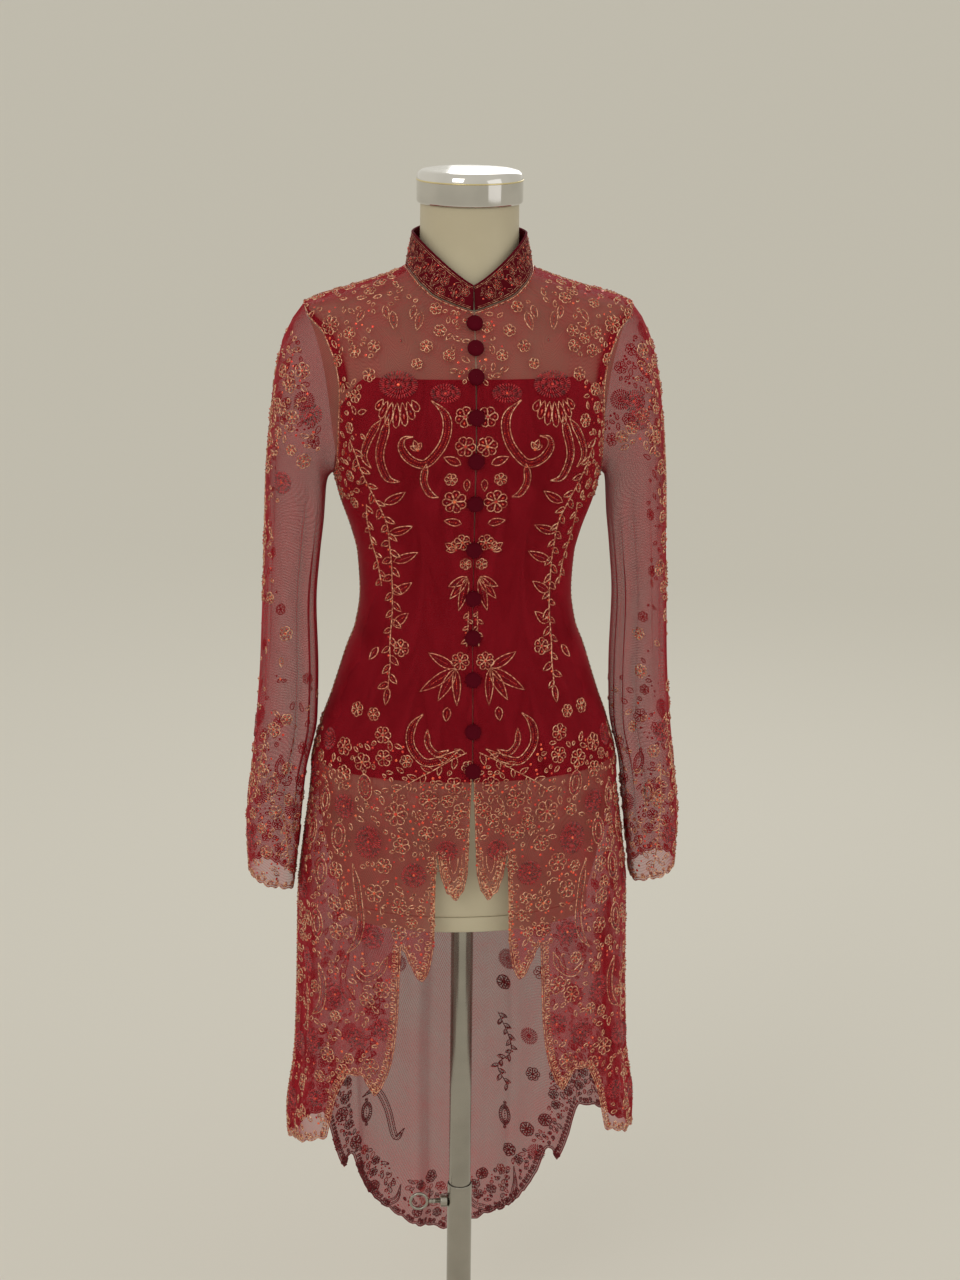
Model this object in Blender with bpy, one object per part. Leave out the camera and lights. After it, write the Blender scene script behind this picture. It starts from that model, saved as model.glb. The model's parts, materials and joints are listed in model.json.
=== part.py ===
"""Kebaya blouse worn by a limbless dress form on a telescopic floor stand.

Metres, +Z up. The garment's front faces -Y and the wearer's left side is +X. The origin is the
centre of the base's underside, on the floor.

Every cloth piece is an open wall laid over one shared body surface. A point of that surface is
named by its turn, in degrees from the centre front towards the wearer's left, and its height.
Layers lie on the body in this order: form, lining, net. All sewn pieces stay a seam gap apart.
"""
from collections import namedtuple
from math import acos, atan2, copysign, cos, degrees, exp, pi, radians, sin

import bmesh
import bpy
from mathutils import Matrix, Vector

# ---------------------------------------------------------------- driving dimensions
SEAM_GAP = 0.0003
FORM_GAP = 0.0020          # form to lining
LINING_WALL = 0.0010
LAYER_GAP = 0.0016         # lining to net
NET_WALL = 0.0010
COLLAR_WALL = 0.0016
NET_OFFSET = FORM_GAP + LINING_WALL + LAYER_GAP

HIP_HEIGHT = 0.863
UNDERARM_HEIGHT = 1.190
SHOULDER_TIP_HEIGHT = 1.3655
NECK_FRONT_HEIGHT = 1.366
NECK_SIDE_HEIGHT = 1.402
NECK_BACK_HEIGHT = 1.408
CLOSURE_FOOT_HEIGHT = 0.889   # the fronts part below the last button
PARTING_SLOPE = 8.3           # degrees that each front parts per metre below it
LINING_HEM_HEIGHT = 0.877
LINING_TOP_HEIGHT = 1.304
LINING_ARMHOLE_TOP = 1.268

SEAM_TURN = 0.10           # degrees left open on each side of a seam down the body
ARMHOLE_Y = 0.002
ARMHOLE_HALF_DEPTH = 0.054
ARMHOLE_HEIGHT = (SHOULDER_TIP_HEIGHT + UNDERARM_HEIGHT) / 2
ARMHOLE_HALF_HEIGHT = (SHOULDER_TIP_HEIGHT - UNDERARM_HEIGHT) / 2

BUST_TURN = 33.0
BUST_HEIGHT = 1.240
BUST_PROJECTION = 0.013
BUST_SPREAD_TURN = 24.0
BUST_SPREAD_HEIGHT = 0.050

FORM_FOOT = 0.717
FORM_TOP = 1.4717
LID_FOOT = 0.699
CAP_TOP = 1.506
CAP_RADIUS = 0.055
POLE_RADIUS = 0.0125
POLE_FOOT = 0.170
SOCKET_RADIUS = 0.0128
TUBE_RADIUS = 0.0142
TUBE_TOP = 0.345
TUBE_FOOT_FLARE = 0.014
TUBE_FOOT_HEIGHT = 0.006
TUBE_FOOT_CHAMFER = 0.004
BASE_RADIUS = 0.160
BASE_THICKNESS = 0.012
BASE_EDGE = 0.003
CLAMP_HEIGHT = 0.322
CLAMP_BOSS_LENGTH = 0.008
CLAMP_BOSS_RADIUS = 0.0075
CLAMP_SCREW_RADIUS = 0.0030
CLAMP_SCREW_LENGTH = 0.013
CLAMP_RING_RADIUS = 0.0098
CLAMP_WIRE_RADIUS = 0.0016

BUTTON_RADIUS = 0.0085
BUTTON_RISE = 0.0060
BUTTON_GAP = 0.0005

BINDING_WIDTH = 0.0110
BINDING_GAP = 0.0014        # net to the binding under it
BINDING_WALL = 0.0008
BINDING_END_HEIGHT = 1.291
BINDING_TIP_SHARE = 0.08    # share of the way in from the panel's corner at the shoulder tip
SHOULDER_LIFT = 0.0022       # the net rides up over the binding at the shoulder
SHOULDER_LIFT_RUN = 0.050
COLLAR_TOP_RADIUS = 0.0590
COLLAR_FRONT_TOP = 1.3935
COLLAR_SIDE_TOP = 1.4410
COLLAR_BACK_TOP = 1.4460
COLLAR_BINDING_HEIGHT = 0.0022
COLLAR_BINDING_PROUD = 0.0003

# ---------------------------------------------------------------- tables
Section = namedtuple("Section", "height half_width front_depth back_depth squareness")

# The dress form, from its cut foot to the top of its neck.
BODY = [
    Section(0.717, 0.1390, 0.0940, 0.1010, 2.2),
    Section(0.760, 0.1490, 0.1000, 0.1100, 2.2),
    Section(0.810, 0.1575, 0.1035, 0.1155, 2.2),
    Section(0.863, 0.1622, 0.1045, 0.1165, 2.2),
    Section(0.913, 0.1507, 0.1025, 0.1110, 2.2),
    Section(0.941, 0.1407, 0.0990, 0.1050, 2.2),
    Section(0.969, 0.1317, 0.0955, 0.0970, 2.2),
    Section(0.996, 0.1232, 0.0915, 0.0890, 2.2),
    Section(1.023, 0.1132, 0.0865, 0.0815, 2.2),
    Section(1.060, 0.1082, 0.0835, 0.0765, 2.2),
    Section(1.103, 0.1107, 0.0855, 0.0775, 2.2),
    Section(1.130, 0.1172, 0.0885, 0.0815, 2.2),
    Section(1.170, 0.1307, 0.0940, 0.0885, 2.3),
    Section(1.200, 0.1375, 0.0975, 0.0940, 2.3),
    Section(1.243, 0.1435, 0.0990, 0.1005, 2.3),
    Section(1.290, 0.1495, 0.0940, 0.1035, 2.3),
    Section(1.330, 0.1580, 0.0800, 0.0980, 2.3),
    Section(1.350, 0.1645, 0.0675, 0.0870, 2.2),
    Section(1.360, 0.1675, 0.0610, 0.0780, 2.2),
    Section(1.366, 0.1655, 0.0575, 0.0720, 2.1),
    Section(1.374, 0.1395, 0.0550, 0.0670, 2.1),
    Section(1.382, 0.1130, 0.0530, 0.0625, 2.1),
    Section(1.390, 0.0880, 0.0515, 0.0590, 2.0),
    Section(1.397, 0.0700, 0.0507, 0.0565, 2.0),
    Section(1.404, 0.0590, 0.0505, 0.0545, 2.0),
    Section(1.415, 0.0530, 0.0505, 0.0530, 2.0),
    Section(1.440, 0.0512, 0.0505, 0.0515, 2.0),
    Section(1.472, 0.0510, 0.0510, 0.0510, 2.0),
]

# The net's inner face where it hangs free below the hip.
SKIRT = [
    Section(0.170, 0.1800, 0.1270, 0.1700, 2.1),
    Section(0.250, 0.1850, 0.1270, 0.1680, 2.1),
    Section(0.350, 0.1930, 0.1270, 0.1630, 2.1),
    Section(0.447, 0.1985, 0.1265, 0.1590, 2.1),
    Section(0.523, 0.1890, 0.1240, 0.1550, 2.1),
    Section(0.598, 0.1858, 0.1220, 0.1500, 2.1),
    Section(0.715, 0.1828, 0.1190, 0.1400, 2.1),
    Section(0.790, 0.1745, 0.1140, 0.1300, 2.2),
    Section(0.830, 0.1690, 0.1105, 0.1240, 2.2),
    Section(0.863, 0.1660, 0.1083, 0.1203, 2.2),
]

# Hanging folds of the skirt: positive depth stands out, negative depth tucks in.
Fold = namedtuple("Fold", "turn depth spread top_height")
FOLDS = [
    Fold(62.0, 0.0035, 7.0, 0.780),
    Fold(78.0, -0.0040, 7.0, 0.800),
    Fold(104.0, -0.0050, 8.0, 0.800),
    Fold(122.0, 0.0060, 8.0, 0.760),
    Fold(150.0, -0.0060, 7.0, 0.740),
    Fold(166.0, 0.0050, 6.0, 0.760),
    Fold(193.0, -0.0160, 5.5, 0.820),
    Fold(207.0, 0.0060, 7.0, 0.760),
    Fold(236.0, 0.0060, 8.0, 0.760),
    Fold(256.0, -0.0050, 8.0, 0.800),
    Fold(284.0, -0.0040, 7.0, 0.800),
    Fold(299.0, 0.0035, 7.0, 0.780),
]
FOLD_RUN = 0.200           # a fold reaches full depth this far below its top

# The stepped hem, centre front to side: tab, first, second and side scallop.
HemPoint = namedtuple("HemPoint", "turn height")
FRONT_HEM = [
    HemPoint(0.8, 0.784),
    HemPoint(2.2, 0.761),
    HemPoint(4.7, 0.750),
    HemPoint(7.4, 0.757),
    HemPoint(9.4, 0.776),
    HemPoint(10.7, 0.799),
    HemPoint(11.7, 0.700),
    HemPoint(13.2, 0.668),
    HemPoint(16.0, 0.655),
    HemPoint(19.4, 0.671),
    HemPoint(23.0, 0.692),
    HemPoint(24.0, 0.604),
    HemPoint(26.0, 0.556),
    HemPoint(32.0, 0.517),
    HemPoint(38.0, 0.537),
    HemPoint(43.0, 0.535),
    HemPoint(48.5, 0.502),
    HemPoint(50.5, 0.455),
    HemPoint(57.5, 0.446),
    HemPoint(66.0, 0.436),
    HemPoint(74.0, 0.430),
    HemPoint(82.0, 0.424),
    HemPoint(90.0, 0.420),
]
# Side to centre back: the corner scallop, then the long curve of the tail.
BACK_HEM = [
    HemPoint(90.0, 0.420),
    HemPoint(98.0, 0.410),
    HemPoint(106.0, 0.402),
    HemPoint(113.0, 0.397),
    HemPoint(121.0, 0.392),
    HemPoint(130.0, 0.385),
    HemPoint(134.0, 0.335),
    HemPoint(138.0, 0.303),
    HemPoint(142.0, 0.318),
    HemPoint(145.5, 0.282),
    HemPoint(151.0, 0.249),
    HemPoint(158.0, 0.224),
    HemPoint(165.5, 0.208),
    HemPoint(173.0, 0.197),
    HemPoint(180.0, 0.186),
]
LOWER_ROWS = [0.0, 0.14, 0.36, 0.58, 0.80]          # share of the way from hem to closure foot
BODICE_ROWS = [0.889, 0.940, 0.990, 1.040, 1.090, 1.140, 1.190]
ARMHOLE_ROWS = [1.197, 1.214, 1.240, 1.272, 1.305, 1.335, 1.354, 1.3625, SHOULDER_TIP_HEIGHT]
SHOULDER_ROWS = [1.3705, 1.379, 1.390, NECK_SIDE_HEIGHT]
LINING_ROWS = [LINING_HEM_HEIGHT, 0.940, 0.990, 1.040, 1.090, 1.140, 1.190]
LINING_ARMHOLE_ROWS = [1.198, 1.211, 1.226, 1.240, 1.254, LINING_ARMHOLE_TOP]

# The left sleeve below its armhole: the outer and the inner edge seen from the front.
Ring = namedtuple("Ring", "outer_x outer_z inner_x inner_z half_depth")
SLEEVE = [
    Ring(0.1830, 1.3545, 0.1435, 1.1885, 0.0540),
    Ring(0.1940, 1.3300, 0.1470, 1.1840, 0.0535),
    Ring(0.2030, 1.2900, 0.1490, 1.1750, 0.0520),
    Ring(0.2085, 1.2450, 0.1500, 1.1620, 0.0510),
    Ring(0.2130, 1.1900, 0.1515, 1.1400, 0.0495),
    Ring(0.2160, 1.1200, 0.1560, 1.1000, 0.0475),
    Ring(0.2190, 1.0500, 0.1600, 1.0450, 0.0460),
    Ring(0.2220, 0.9800, 0.1585, 0.9780, 0.0450),
    Ring(0.2270, 0.9200, 0.1600, 0.9180, 0.0440),
    Ring(0.2335, 0.8600, 0.1725, 0.8580, 0.0430),
    Ring(0.2400, 0.7950, 0.1800, 0.7900, 0.0430),
    Ring(0.2380, 0.7450, 0.1880, 0.7280, 0.0420),
]
SleeveFold = namedtuple("SleeveFold", "turn depth spread")
SLEEVE_FOLDS = [
    SleeveFold(108.0, -0.0040, 15.0),
    SleeveFold(145.0, 0.0025, 15.0),
    SleeveFold(215.0, 0.0025, 16.0),
    SleeveFold(252.0, -0.0035, 16.0),
]

BUTTON_HEIGHTS = [1.354, 1.332, 1.306, 1.267, 1.224, 1.179, 1.128, 1.074, 1.031, 0.987, 0.932, 0.890]

FORM_ROWS = [
    0.717, 0.745, 0.775, 0.805, 0.835, 0.863, 0.890, 0.915, 0.940, 0.965, 0.990, 1.015,
    1.040, 1.065, 1.090, 1.115, 1.140, 1.165, 1.190, 1.215, 1.240, 1.265, 1.290, 1.312,
    1.332, 1.348, 1.359, 1.366, 1.374, 1.382, 1.390, 1.397, 1.404, 1.415, 1.440, FORM_TOP,
]
FORM_COLUMNS = 44
ROUND_SIDES = 32

# ---------------------------------------------------------------- materials
Finish = namedtuple("Finish", "color roughness metallic")
FINISHES = {
    "net": Finish((0.34, 0.012, 0.045, 1.0), 0.55, 0.0),
    "lining": Finish((0.20, 0.002, 0.020, 1.0), 0.50, 0.0),
    "button": Finish((0.16, 0.003, 0.018, 1.0), 0.65, 0.0),
    "form": Finish((0.62, 0.60, 0.49, 1.0), 0.45, 0.0),
    "chrome": Finish((0.80, 0.80, 0.80, 1.0), 0.12, 1.0),
    "steel": Finish((0.55, 0.55, 0.55, 1.0), 0.30, 1.0),
}


def make_material(finish_name):
    """The Principled material of one finish, made once."""
    material = bpy.data.materials.get(finish_name)
    if material is None:
        finish = FINISHES[finish_name]
        material = bpy.data.materials.new(finish_name)
        material.use_nodes = True
        shader = material.node_tree.nodes["Principled BSDF"]
        shader.inputs["Base Color"].default_value = finish.color
        shader.inputs["Roughness"].default_value = finish.roughness
        shader.inputs["Metallic"].default_value = finish.metallic
    return material


# ---------------------------------------------------------------- the body surface
def smooth_value(rows, column, height):
    """A monotone cubic through one column of a table, held at its ends."""
    if height <= rows[0].height:
        return rows[0][column]
    if height >= rows[-1].height:
        return rows[-1][column]
    index = max(i for i in range(len(rows) - 1) if rows[i].height <= height)

    def rise(i):
        return (rows[i + 1][column] - rows[i][column]) / (rows[i + 1].height - rows[i].height)

    def slope(i):
        if i in (0, len(rows) - 1):
            return rise(min(i, len(rows) - 2))
        before, after = rise(i - 1), rise(i)
        return 0.0 if before * after <= 0 else 2 * before * after / (before + after)

    low, high = rows[index], rows[index + 1]
    span = high.height - low.height
    s = (height - low.height) / span
    return ((1 + 2 * s) * (1 - s) ** 2 * low[column] + s * s * (3 - 2 * s) * high[column]
            + span * (s * (1 - s) ** 2 * slope(index) - s * s * (1 - s) * slope(index + 1)))


def section_point(rows, turn, height):
    """A point of a table's section: a rounded oval, flatter in front or behind."""
    half_width, front, back, squareness = (smooth_value(rows, c, height) for c in range(1, 5))
    across, ahead = sin(radians(turn)), cos(radians(turn))
    depth = front if ahead > 0 else back
    power = 2 / squareness
    return Vector((copysign(half_width * abs(across) ** power, across),
                   -copysign(depth * abs(ahead) ** power, ahead), height))


def turned_from(turn, centre):
    """The signed turn from a centre line, in degrees within half a circle."""
    return (turn - centre + 180) % 360 - 180


def pushed_out(point, turn, distance):
    """The point moved level, away from the body's axis."""
    return point + Vector((sin(radians(turn)), -cos(radians(turn)), 0)) * distance


def body_surface(turn, height):
    """The dress form's skin, with the bust on both sides."""
    rise = (height - BUST_HEIGHT) / BUST_SPREAD_HEIGHT
    away = [turned_from(turn, side * BUST_TURN) / BUST_SPREAD_TURN for side in (-1, 1)]
    swell = sum(exp(-a * a - rise * rise) for a in away)
    return pushed_out(section_point(BODY, turn, height), turn, BUST_PROJECTION * swell)


def surface_normal(surface, turn, height):
    """The outward normal of a surface of turn and height."""
    turn_step, height_step = 0.5, 0.0015
    along = surface(turn + turn_step, height) - surface(turn - turn_step, height)
    up = surface(turn, height + height_step) - surface(turn, height - height_step)
    return along.cross(up).normalized()


def over(surface, turn, height, distance):
    """A point at a distance over a surface."""
    return surface(turn, height) + surface_normal(surface, turn, height) * distance


def eased(share):
    share = min(1.0, max(0.0, share))
    return share * share * (3 - 2 * share)


def net_surface(turn, height):
    """The net's inner face: over the lining down to the hip, then hanging in folds."""
    if height >= HIP_HEIGHT:
        lift = SHOULDER_LIFT * eased((height - BINDING_END_HEIGHT) / SHOULDER_LIFT_RUN)
        return over(body_surface, turn, height, NET_OFFSET + lift)
    point = section_point(SKIRT, turn, height)
    depth = sum(fold.depth * exp(-(turned_from(turn, fold.turn) / fold.spread) ** 2)
                * eased((fold.top_height - height) / FOLD_RUN) for fold in FOLDS)
    return pushed_out(point, turn, depth)


# ---------------------------------------------------------------- edges of the pieces
def neckline_height(turn):
    """The neck seam: low at the centre front, highest at the centre back."""
    side = abs(sin(radians(turn)))
    if cos(radians(turn)) > 0:
        return NECK_FRONT_HEIGHT + (NECK_SIDE_HEIGHT - NECK_FRONT_HEIGHT) * side ** 0.75
    return NECK_BACK_HEIGHT - (NECK_BACK_HEIGHT - NECK_SIDE_HEIGHT) * side ** 2


def lining_top(turn):
    """The lining's top edge: level over the bust, falling to the armhole."""
    from_middle = min(turn, 180 - turn)
    fall = eased((from_middle - 40) / 26)
    return LINING_TOP_HEIGHT + (LINING_ARMHOLE_TOP - LINING_TOP_HEIGHT) * fall


def armhole_edge(height_of, facing):
    """The turn where a row of a panel meets the armhole; facing is -1 in front, 1 behind.

    height_of(turn) is the row's height. Rows past the armhole end at the side seam.
    """
    seam = 90 + facing * SEAM_TURN
    if not UNDERARM_HEIGHT < height_of(90) < SHOULDER_TIP_HEIGHT:
        return seam

    def outside(turn):
        point = body_surface(turn, height_of(turn))
        return (((point.y - ARMHOLE_Y) / ARMHOLE_HALF_DEPTH) ** 2
                + ((point.z - ARMHOLE_HEIGHT) / ARMHOLE_HALF_HEIGHT) ** 2) > 1

    near, far = 90.0, 90 + facing * 60
    for _ in range(40):
        middle = (near + far) / 2
        near, far = (near, middle) if outside(middle) else (middle, far)
    return near


# ---------------------------------------------------------------- mesh helpers
def finish_object(name, mesh_data, finish_name, smooth_angle=40.0):
    """An object of a finished bmesh, with its normals out and its material on."""
    bmesh.ops.recalc_face_normals(mesh_data, faces=mesh_data.faces)
    mesh = bpy.data.meshes.new(name)
    mesh_data.to_mesh(mesh)
    mesh_data.free()
    mesh.materials.append(make_material(finish_name))
    mesh.shade_smooth()
    mesh.set_sharp_from_angle(angle=radians(smooth_angle))
    piece = bpy.data.objects.new(name, mesh)
    bpy.context.scene.collection.objects.link(piece)
    return piece


def wall(name, inner, outer, finish_name, around=False, mirrored=False):
    """A closed wall between two grids of points, [row][column]; around joins the last column."""
    mesh_data = bmesh.new()
    flip = Vector((-1, 1, 1)) if mirrored else Vector((1, 1, 1))
    sheets = [[[mesh_data.verts.new(point * flip) for point in row] for row in grid]
              for grid in (inner, outer)]
    rows, columns = len(inner), len(inner[0])
    spans = columns if around else columns - 1
    for sheet in sheets:
        for r in range(rows - 1):
            for c in range(spans):
                d = (c + 1) % columns
                mesh_data.faces.new((sheet[r][c], sheet[r][d], sheet[r + 1][d], sheet[r + 1][c]))
    first, second = sheets
    for r in (0, rows - 1):
        for c in range(spans):
            d = (c + 1) % columns
            mesh_data.faces.new((first[r][c], first[r][d], second[r][d], second[r][c]))
    if not around:
        for c in (0, columns - 1):
            for r in range(rows - 1):
                mesh_data.faces.new((first[r][c], first[r + 1][c], second[r + 1][c], second[r][c]))
    return finish_object(name, mesh_data, finish_name)


def turned_solid(name, profile, finish_name, sides=ROUND_SIDES, place=Matrix()):
    """A solid turned about its own Z through (radius, height) points; a zero radius closes it.

    A profile whose first point is its last is a ring with a bore.
    """
    mesh_data = bmesh.new()
    bored = profile[0] == profile[-1]
    rings = []
    for radius, height in profile[:-1] if bored else profile:
        if radius == 0:
            rings.append([mesh_data.verts.new((0, 0, height))])
        else:
            rings.append([mesh_data.verts.new((radius * cos(2 * pi * k / sides),
                                               radius * sin(2 * pi * k / sides), height))
                          for k in range(sides)])
    pairs = list(zip(rings, rings[1:]))
    if bored:
        pairs.append((rings[-1], rings[0]))
    for low, high in pairs:
        for k in range(sides):
            n = (k + 1) % sides
            corners = []
            for vert in (low[k % len(low)], low[n % len(low)], high[n % len(high)], high[k % len(high)]):
                if vert not in corners:
                    corners.append(vert)
            mesh_data.faces.new(corners)
    mesh_data.transform(place)
    return finish_object(name, mesh_data, finish_name)


# ---------------------------------------------------------------- the stand
def make_stand():
    """Base disc, stand tube with its clamp boss, and the sliding pole."""
    rim = BASE_RADIUS - BASE_EDGE
    turned_solid("stand_base", [
        (0, 0), (rim, 0), (BASE_RADIUS, BASE_EDGE), (BASE_RADIUS, BASE_THICKNESS - BASE_EDGE),
        (rim, BASE_THICKNESS), (0, BASE_THICKNESS)], "chrome", sides=48)
    foot = BASE_THICKNESS + SEAM_GAP
    shoulder = foot + TUBE_FOOT_HEIGHT
    flange = TUBE_RADIUS + TUBE_FOOT_FLARE
    tube = turned_solid("stand_tube", [
        (SOCKET_RADIUS, foot), (flange, foot), (flange, shoulder),
        (TUBE_RADIUS, shoulder + TUBE_FOOT_CHAMFER), (TUBE_RADIUS, TUBE_TOP), (SOCKET_RADIUS, TUBE_TOP),
        (SOCKET_RADIUS, foot)], "steel")
    reach = TUBE_RADIUS - POLE_RADIUS + CLAMP_BOSS_LENGTH
    bore = CLAMP_SCREW_RADIUS + SEAM_GAP
    drill = turned_solid("clamp_drill", [(0, -reach), (bore, -reach), (bore, reach), (0, reach)],
                         "steel", sides=16, place=clamp_place(SOCKET_RADIUS))
    drill.hide_render = True
    drill.display_type = 'WIRE'
    cut = tube.modifiers.new("clamp hole", 'BOOLEAN')
    cut.operation = 'DIFFERENCE'
    cut.object = drill
    turned_solid("pole", [
        (0, POLE_FOOT), (POLE_RADIUS, POLE_FOOT), (POLE_RADIUS, FORM_FOOT - 3 * SEAM_GAP),
        (0, FORM_FOOT - 3 * SEAM_GAP)], "steel")


def clamp_place(distance):
    """A frame on the clamp's axis whose Z points out of the tube, to the wearer's right."""
    turn = Matrix.Rotation(radians(-90), 4, 'Y')
    return Matrix.Translation((-distance, 0, CLAMP_HEIGHT)) @ turn


def make_clamp():
    """The boss on the tube, and the screw with its ring handle."""
    start = TUBE_RADIUS + SEAM_GAP
    bore = CLAMP_SCREW_RADIUS + SEAM_GAP
    turned_solid("clamp_boss", [
        (bore, 0), (CLAMP_BOSS_RADIUS, 0), (CLAMP_BOSS_RADIUS, CLAMP_BOSS_LENGTH),
        (bore, CLAMP_BOSS_LENGTH), (bore, 0)], "steel", sides=16, place=clamp_place(start))
    tip = POLE_RADIUS + SEAM_GAP
    head = start + CLAMP_BOSS_LENGTH + CLAMP_SCREW_LENGTH
    screw = turned_solid("clamp_screw", [
        (0, 0), (CLAMP_SCREW_RADIUS, 0), (CLAMP_SCREW_RADIUS, head - tip), (0, head - tip)],
        "steel", sides=16)
    pivot = bpy.data.objects.new("clamp_axis", None)
    bpy.context.scene.collection.objects.link(pivot)
    pivot.matrix_world = clamp_place(0)
    screw.location = (0, 0, tip)
    screw.parent = pivot
    ring = make_ring("clamp_ring", CLAMP_RING_RADIUS, CLAMP_WIRE_RADIUS)
    ring.location = (0, 0, head + SEAM_GAP + CLAMP_WIRE_RADIUS + CLAMP_RING_RADIUS)
    ring.parent = pivot


def make_ring(name, radius, wire_radius, around=20, sides=8):
    """A wire ring standing on edge in its own XZ plane."""
    mesh_data = bmesh.new()
    rings = []
    for i in range(around):
        turn = 2 * pi * i / around
        out = Vector((cos(turn), 0, sin(turn)))
        rings.append([mesh_data.verts.new(
            out * (radius + wire_radius * cos(2 * pi * k / sides))
            + Vector((0, wire_radius * sin(2 * pi * k / sides), 0))) for k in range(sides)])
    for i in range(around):
        here, there = rings[i], rings[(i + 1) % around]
        for k in range(sides):
            n = (k + 1) % sides
            mesh_data.faces.new((here[k], here[n], there[n], there[k]))
    return finish_object(name, mesh_data, "steel")


# ---------------------------------------------------------------- the dress form
def make_form():
    """The smooth torso, the lid that closes its foot, and the polished neck cap."""
    mesh_data = bmesh.new()
    rings = []
    for height in FORM_ROWS:
        rings.append([mesh_data.verts.new(body_surface(360 * k / FORM_COLUMNS, height))
                      for k in range(FORM_COLUMNS)])
    for low, high in zip(rings, rings[1:]):
        for k in range(FORM_COLUMNS):
            n = (k + 1) % FORM_COLUMNS
            mesh_data.faces.new((low[k], low[n], high[n], high[k]))
    mesh_data.faces.new(list(reversed(rings[0])))
    mesh_data.faces.new(rings[-1])
    finish_object("form_torso", mesh_data, "form")

    top = FORM_FOOT - SEAM_GAP
    outline = [body_surface(360 * k / FORM_COLUMNS, FORM_FOOT) for k in range(FORM_COLUMNS)]
    mesh_data = bmesh.new()
    rings = []
    for height in (LID_FOOT, top):
        rings.append([mesh_data.verts.new((p.x, p.y, height)) for p in outline])
        rings.append([mesh_data.verts.new((SOCKET_RADIUS * sin(2 * pi * k / FORM_COLUMNS),
                                           -SOCKET_RADIUS * cos(2 * pi * k / FORM_COLUMNS), height))
                      for k in range(FORM_COLUMNS)])
    low_rim, low_bore, high_rim, high_bore = rings
    for first, second in ((low_rim, high_rim), (high_rim, high_bore), (high_bore, low_bore),
                          (low_bore, low_rim)):
        for k in range(FORM_COLUMNS):
            n = (k + 1) % FORM_COLUMNS
            mesh_data.faces.new((first[k], first[n], second[n], second[k]))
    finish_object("form_lid", mesh_data, "form")

    foot = FORM_TOP + SEAM_GAP
    turned_solid("neck_cap", [
        (0, foot), (CAP_RADIUS - 0.002, foot), (CAP_RADIUS, foot + 0.002),
        (CAP_RADIUS, CAP_TOP - 0.008), (CAP_RADIUS - 0.0013, CAP_TOP - 0.0035),
        (CAP_RADIUS - 0.0045, CAP_TOP - 0.0008), (CAP_RADIUS - 0.009, CAP_TOP), (0, CAP_TOP)],
        "chrome", sides=40)


# ---------------------------------------------------------------- the body panels
def panel_rows(hem_points, low_rows, top_of, side_rows, facing, closure):
    """The turn and height of each point of a half panel, [row][column], middle to side.

    low_rows are level rows; side_rows give the heights at the side of rows that bend up to top_of.
    closure(height) is the turn at which the panel starts.
    """
    middle = 90 + facing * 90
    shares = [abs(p.turn - middle) / 90 for p in hem_points]
    foot = low_rows[0]
    rows = []
    if hem_points[0].height < foot or hem_points[-1].height < foot:
        for part in LOWER_ROWS:
            rows.append([(max(abs(p.turn - middle), closure(p.height + part * (foot - p.height))),
                          p.height + part * (foot - p.height)) for p in hem_points])
    for height in low_rows:
        rows.append([(closure(height) + share * (90 - closure(height)), height) for share in shares])
    side_top = top_of(90)
    for side_height in side_rows:
        part = (side_height - UNDERARM_HEIGHT) / (side_top - UNDERARM_HEIGHT)

        def height_of(turn, part=part):
            return UNDERARM_HEIGHT + part * (top_of(turn) - UNDERARM_HEIGHT)

        reach = abs(armhole_edge(height_of, facing) - middle)
        start = closure(side_height)
        rows.append([(start + share * (reach - start),
                      height_of(middle - facing * (start + share * (reach - start))))
                     for share in shares])
    limit = 90 - SEAM_TURN
    return [[(middle - facing * min(turn, limit), height) for turn, height in row] for row in rows]


def front_closure(height):
    """The centre-front edge: closed under the buttons, parting below the last one."""
    return SEAM_TURN + PARTING_SLOPE * max(0.0, CLOSURE_FOOT_HEIGHT - height)


def no_closure(height):
    return 0.0


def both_halves(rows):
    """A half panel from the side to the middle, and its mirror image on the other side."""
    return [list(reversed(row)) + [(360 - turn, height) for turn, height in row[1:]] for row in rows]


def laid(rows, surface, distance):
    return [[over(surface, turn, height, distance) for turn, height in row] for row in rows]


def net_rows(facing):
    hem, closure = (FRONT_HEM, front_closure) if facing < 0 else (BACK_HEM[::-1], no_closure)
    return panel_rows(hem, BODICE_ROWS, neckline_height, ARMHOLE_ROWS + SHOULDER_ROWS, facing, closure)


def make_net_panels():
    """The two fronts and the back of the net blouse, from neck and shoulders to the hem."""
    front = net_rows(-1)
    grids = laid(front, net_surface, 0.0), laid(front, net_surface, NET_WALL)
    wall("front_left", *grids, "net")
    wall("front_right", *grids, "net", mirrored=True)
    back = both_halves(net_rows(1))
    wall("back", laid(back, net_surface, 0.0), laid(back, net_surface, NET_WALL), "net")


def make_lining():
    """The close lining under the net: two fronts and a back."""
    columns = 10
    for facing, names in ((-1, ("lining_front_left", "lining_front_right")), (1, ("lining_back",))):
        middle = 90 + facing * 90
        level = [HemPoint(middle - facing * 90 * c / columns, LINING_HEM_HEIGHT)
                 for c in range(columns + 1)]
        closure = (lambda height: SEAM_TURN) if facing < 0 else no_closure
        rows = panel_rows(level, LINING_ROWS, lining_top, LINING_ARMHOLE_ROWS, facing, closure)
        if facing > 0:
            rows = both_halves(rows)
        grids = (laid(rows, body_surface, FORM_GAP), laid(rows, body_surface, FORM_GAP + LINING_WALL))
        for name in names:
            wall(name, *grids, "lining", mirrored=name.endswith("right"))


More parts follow.
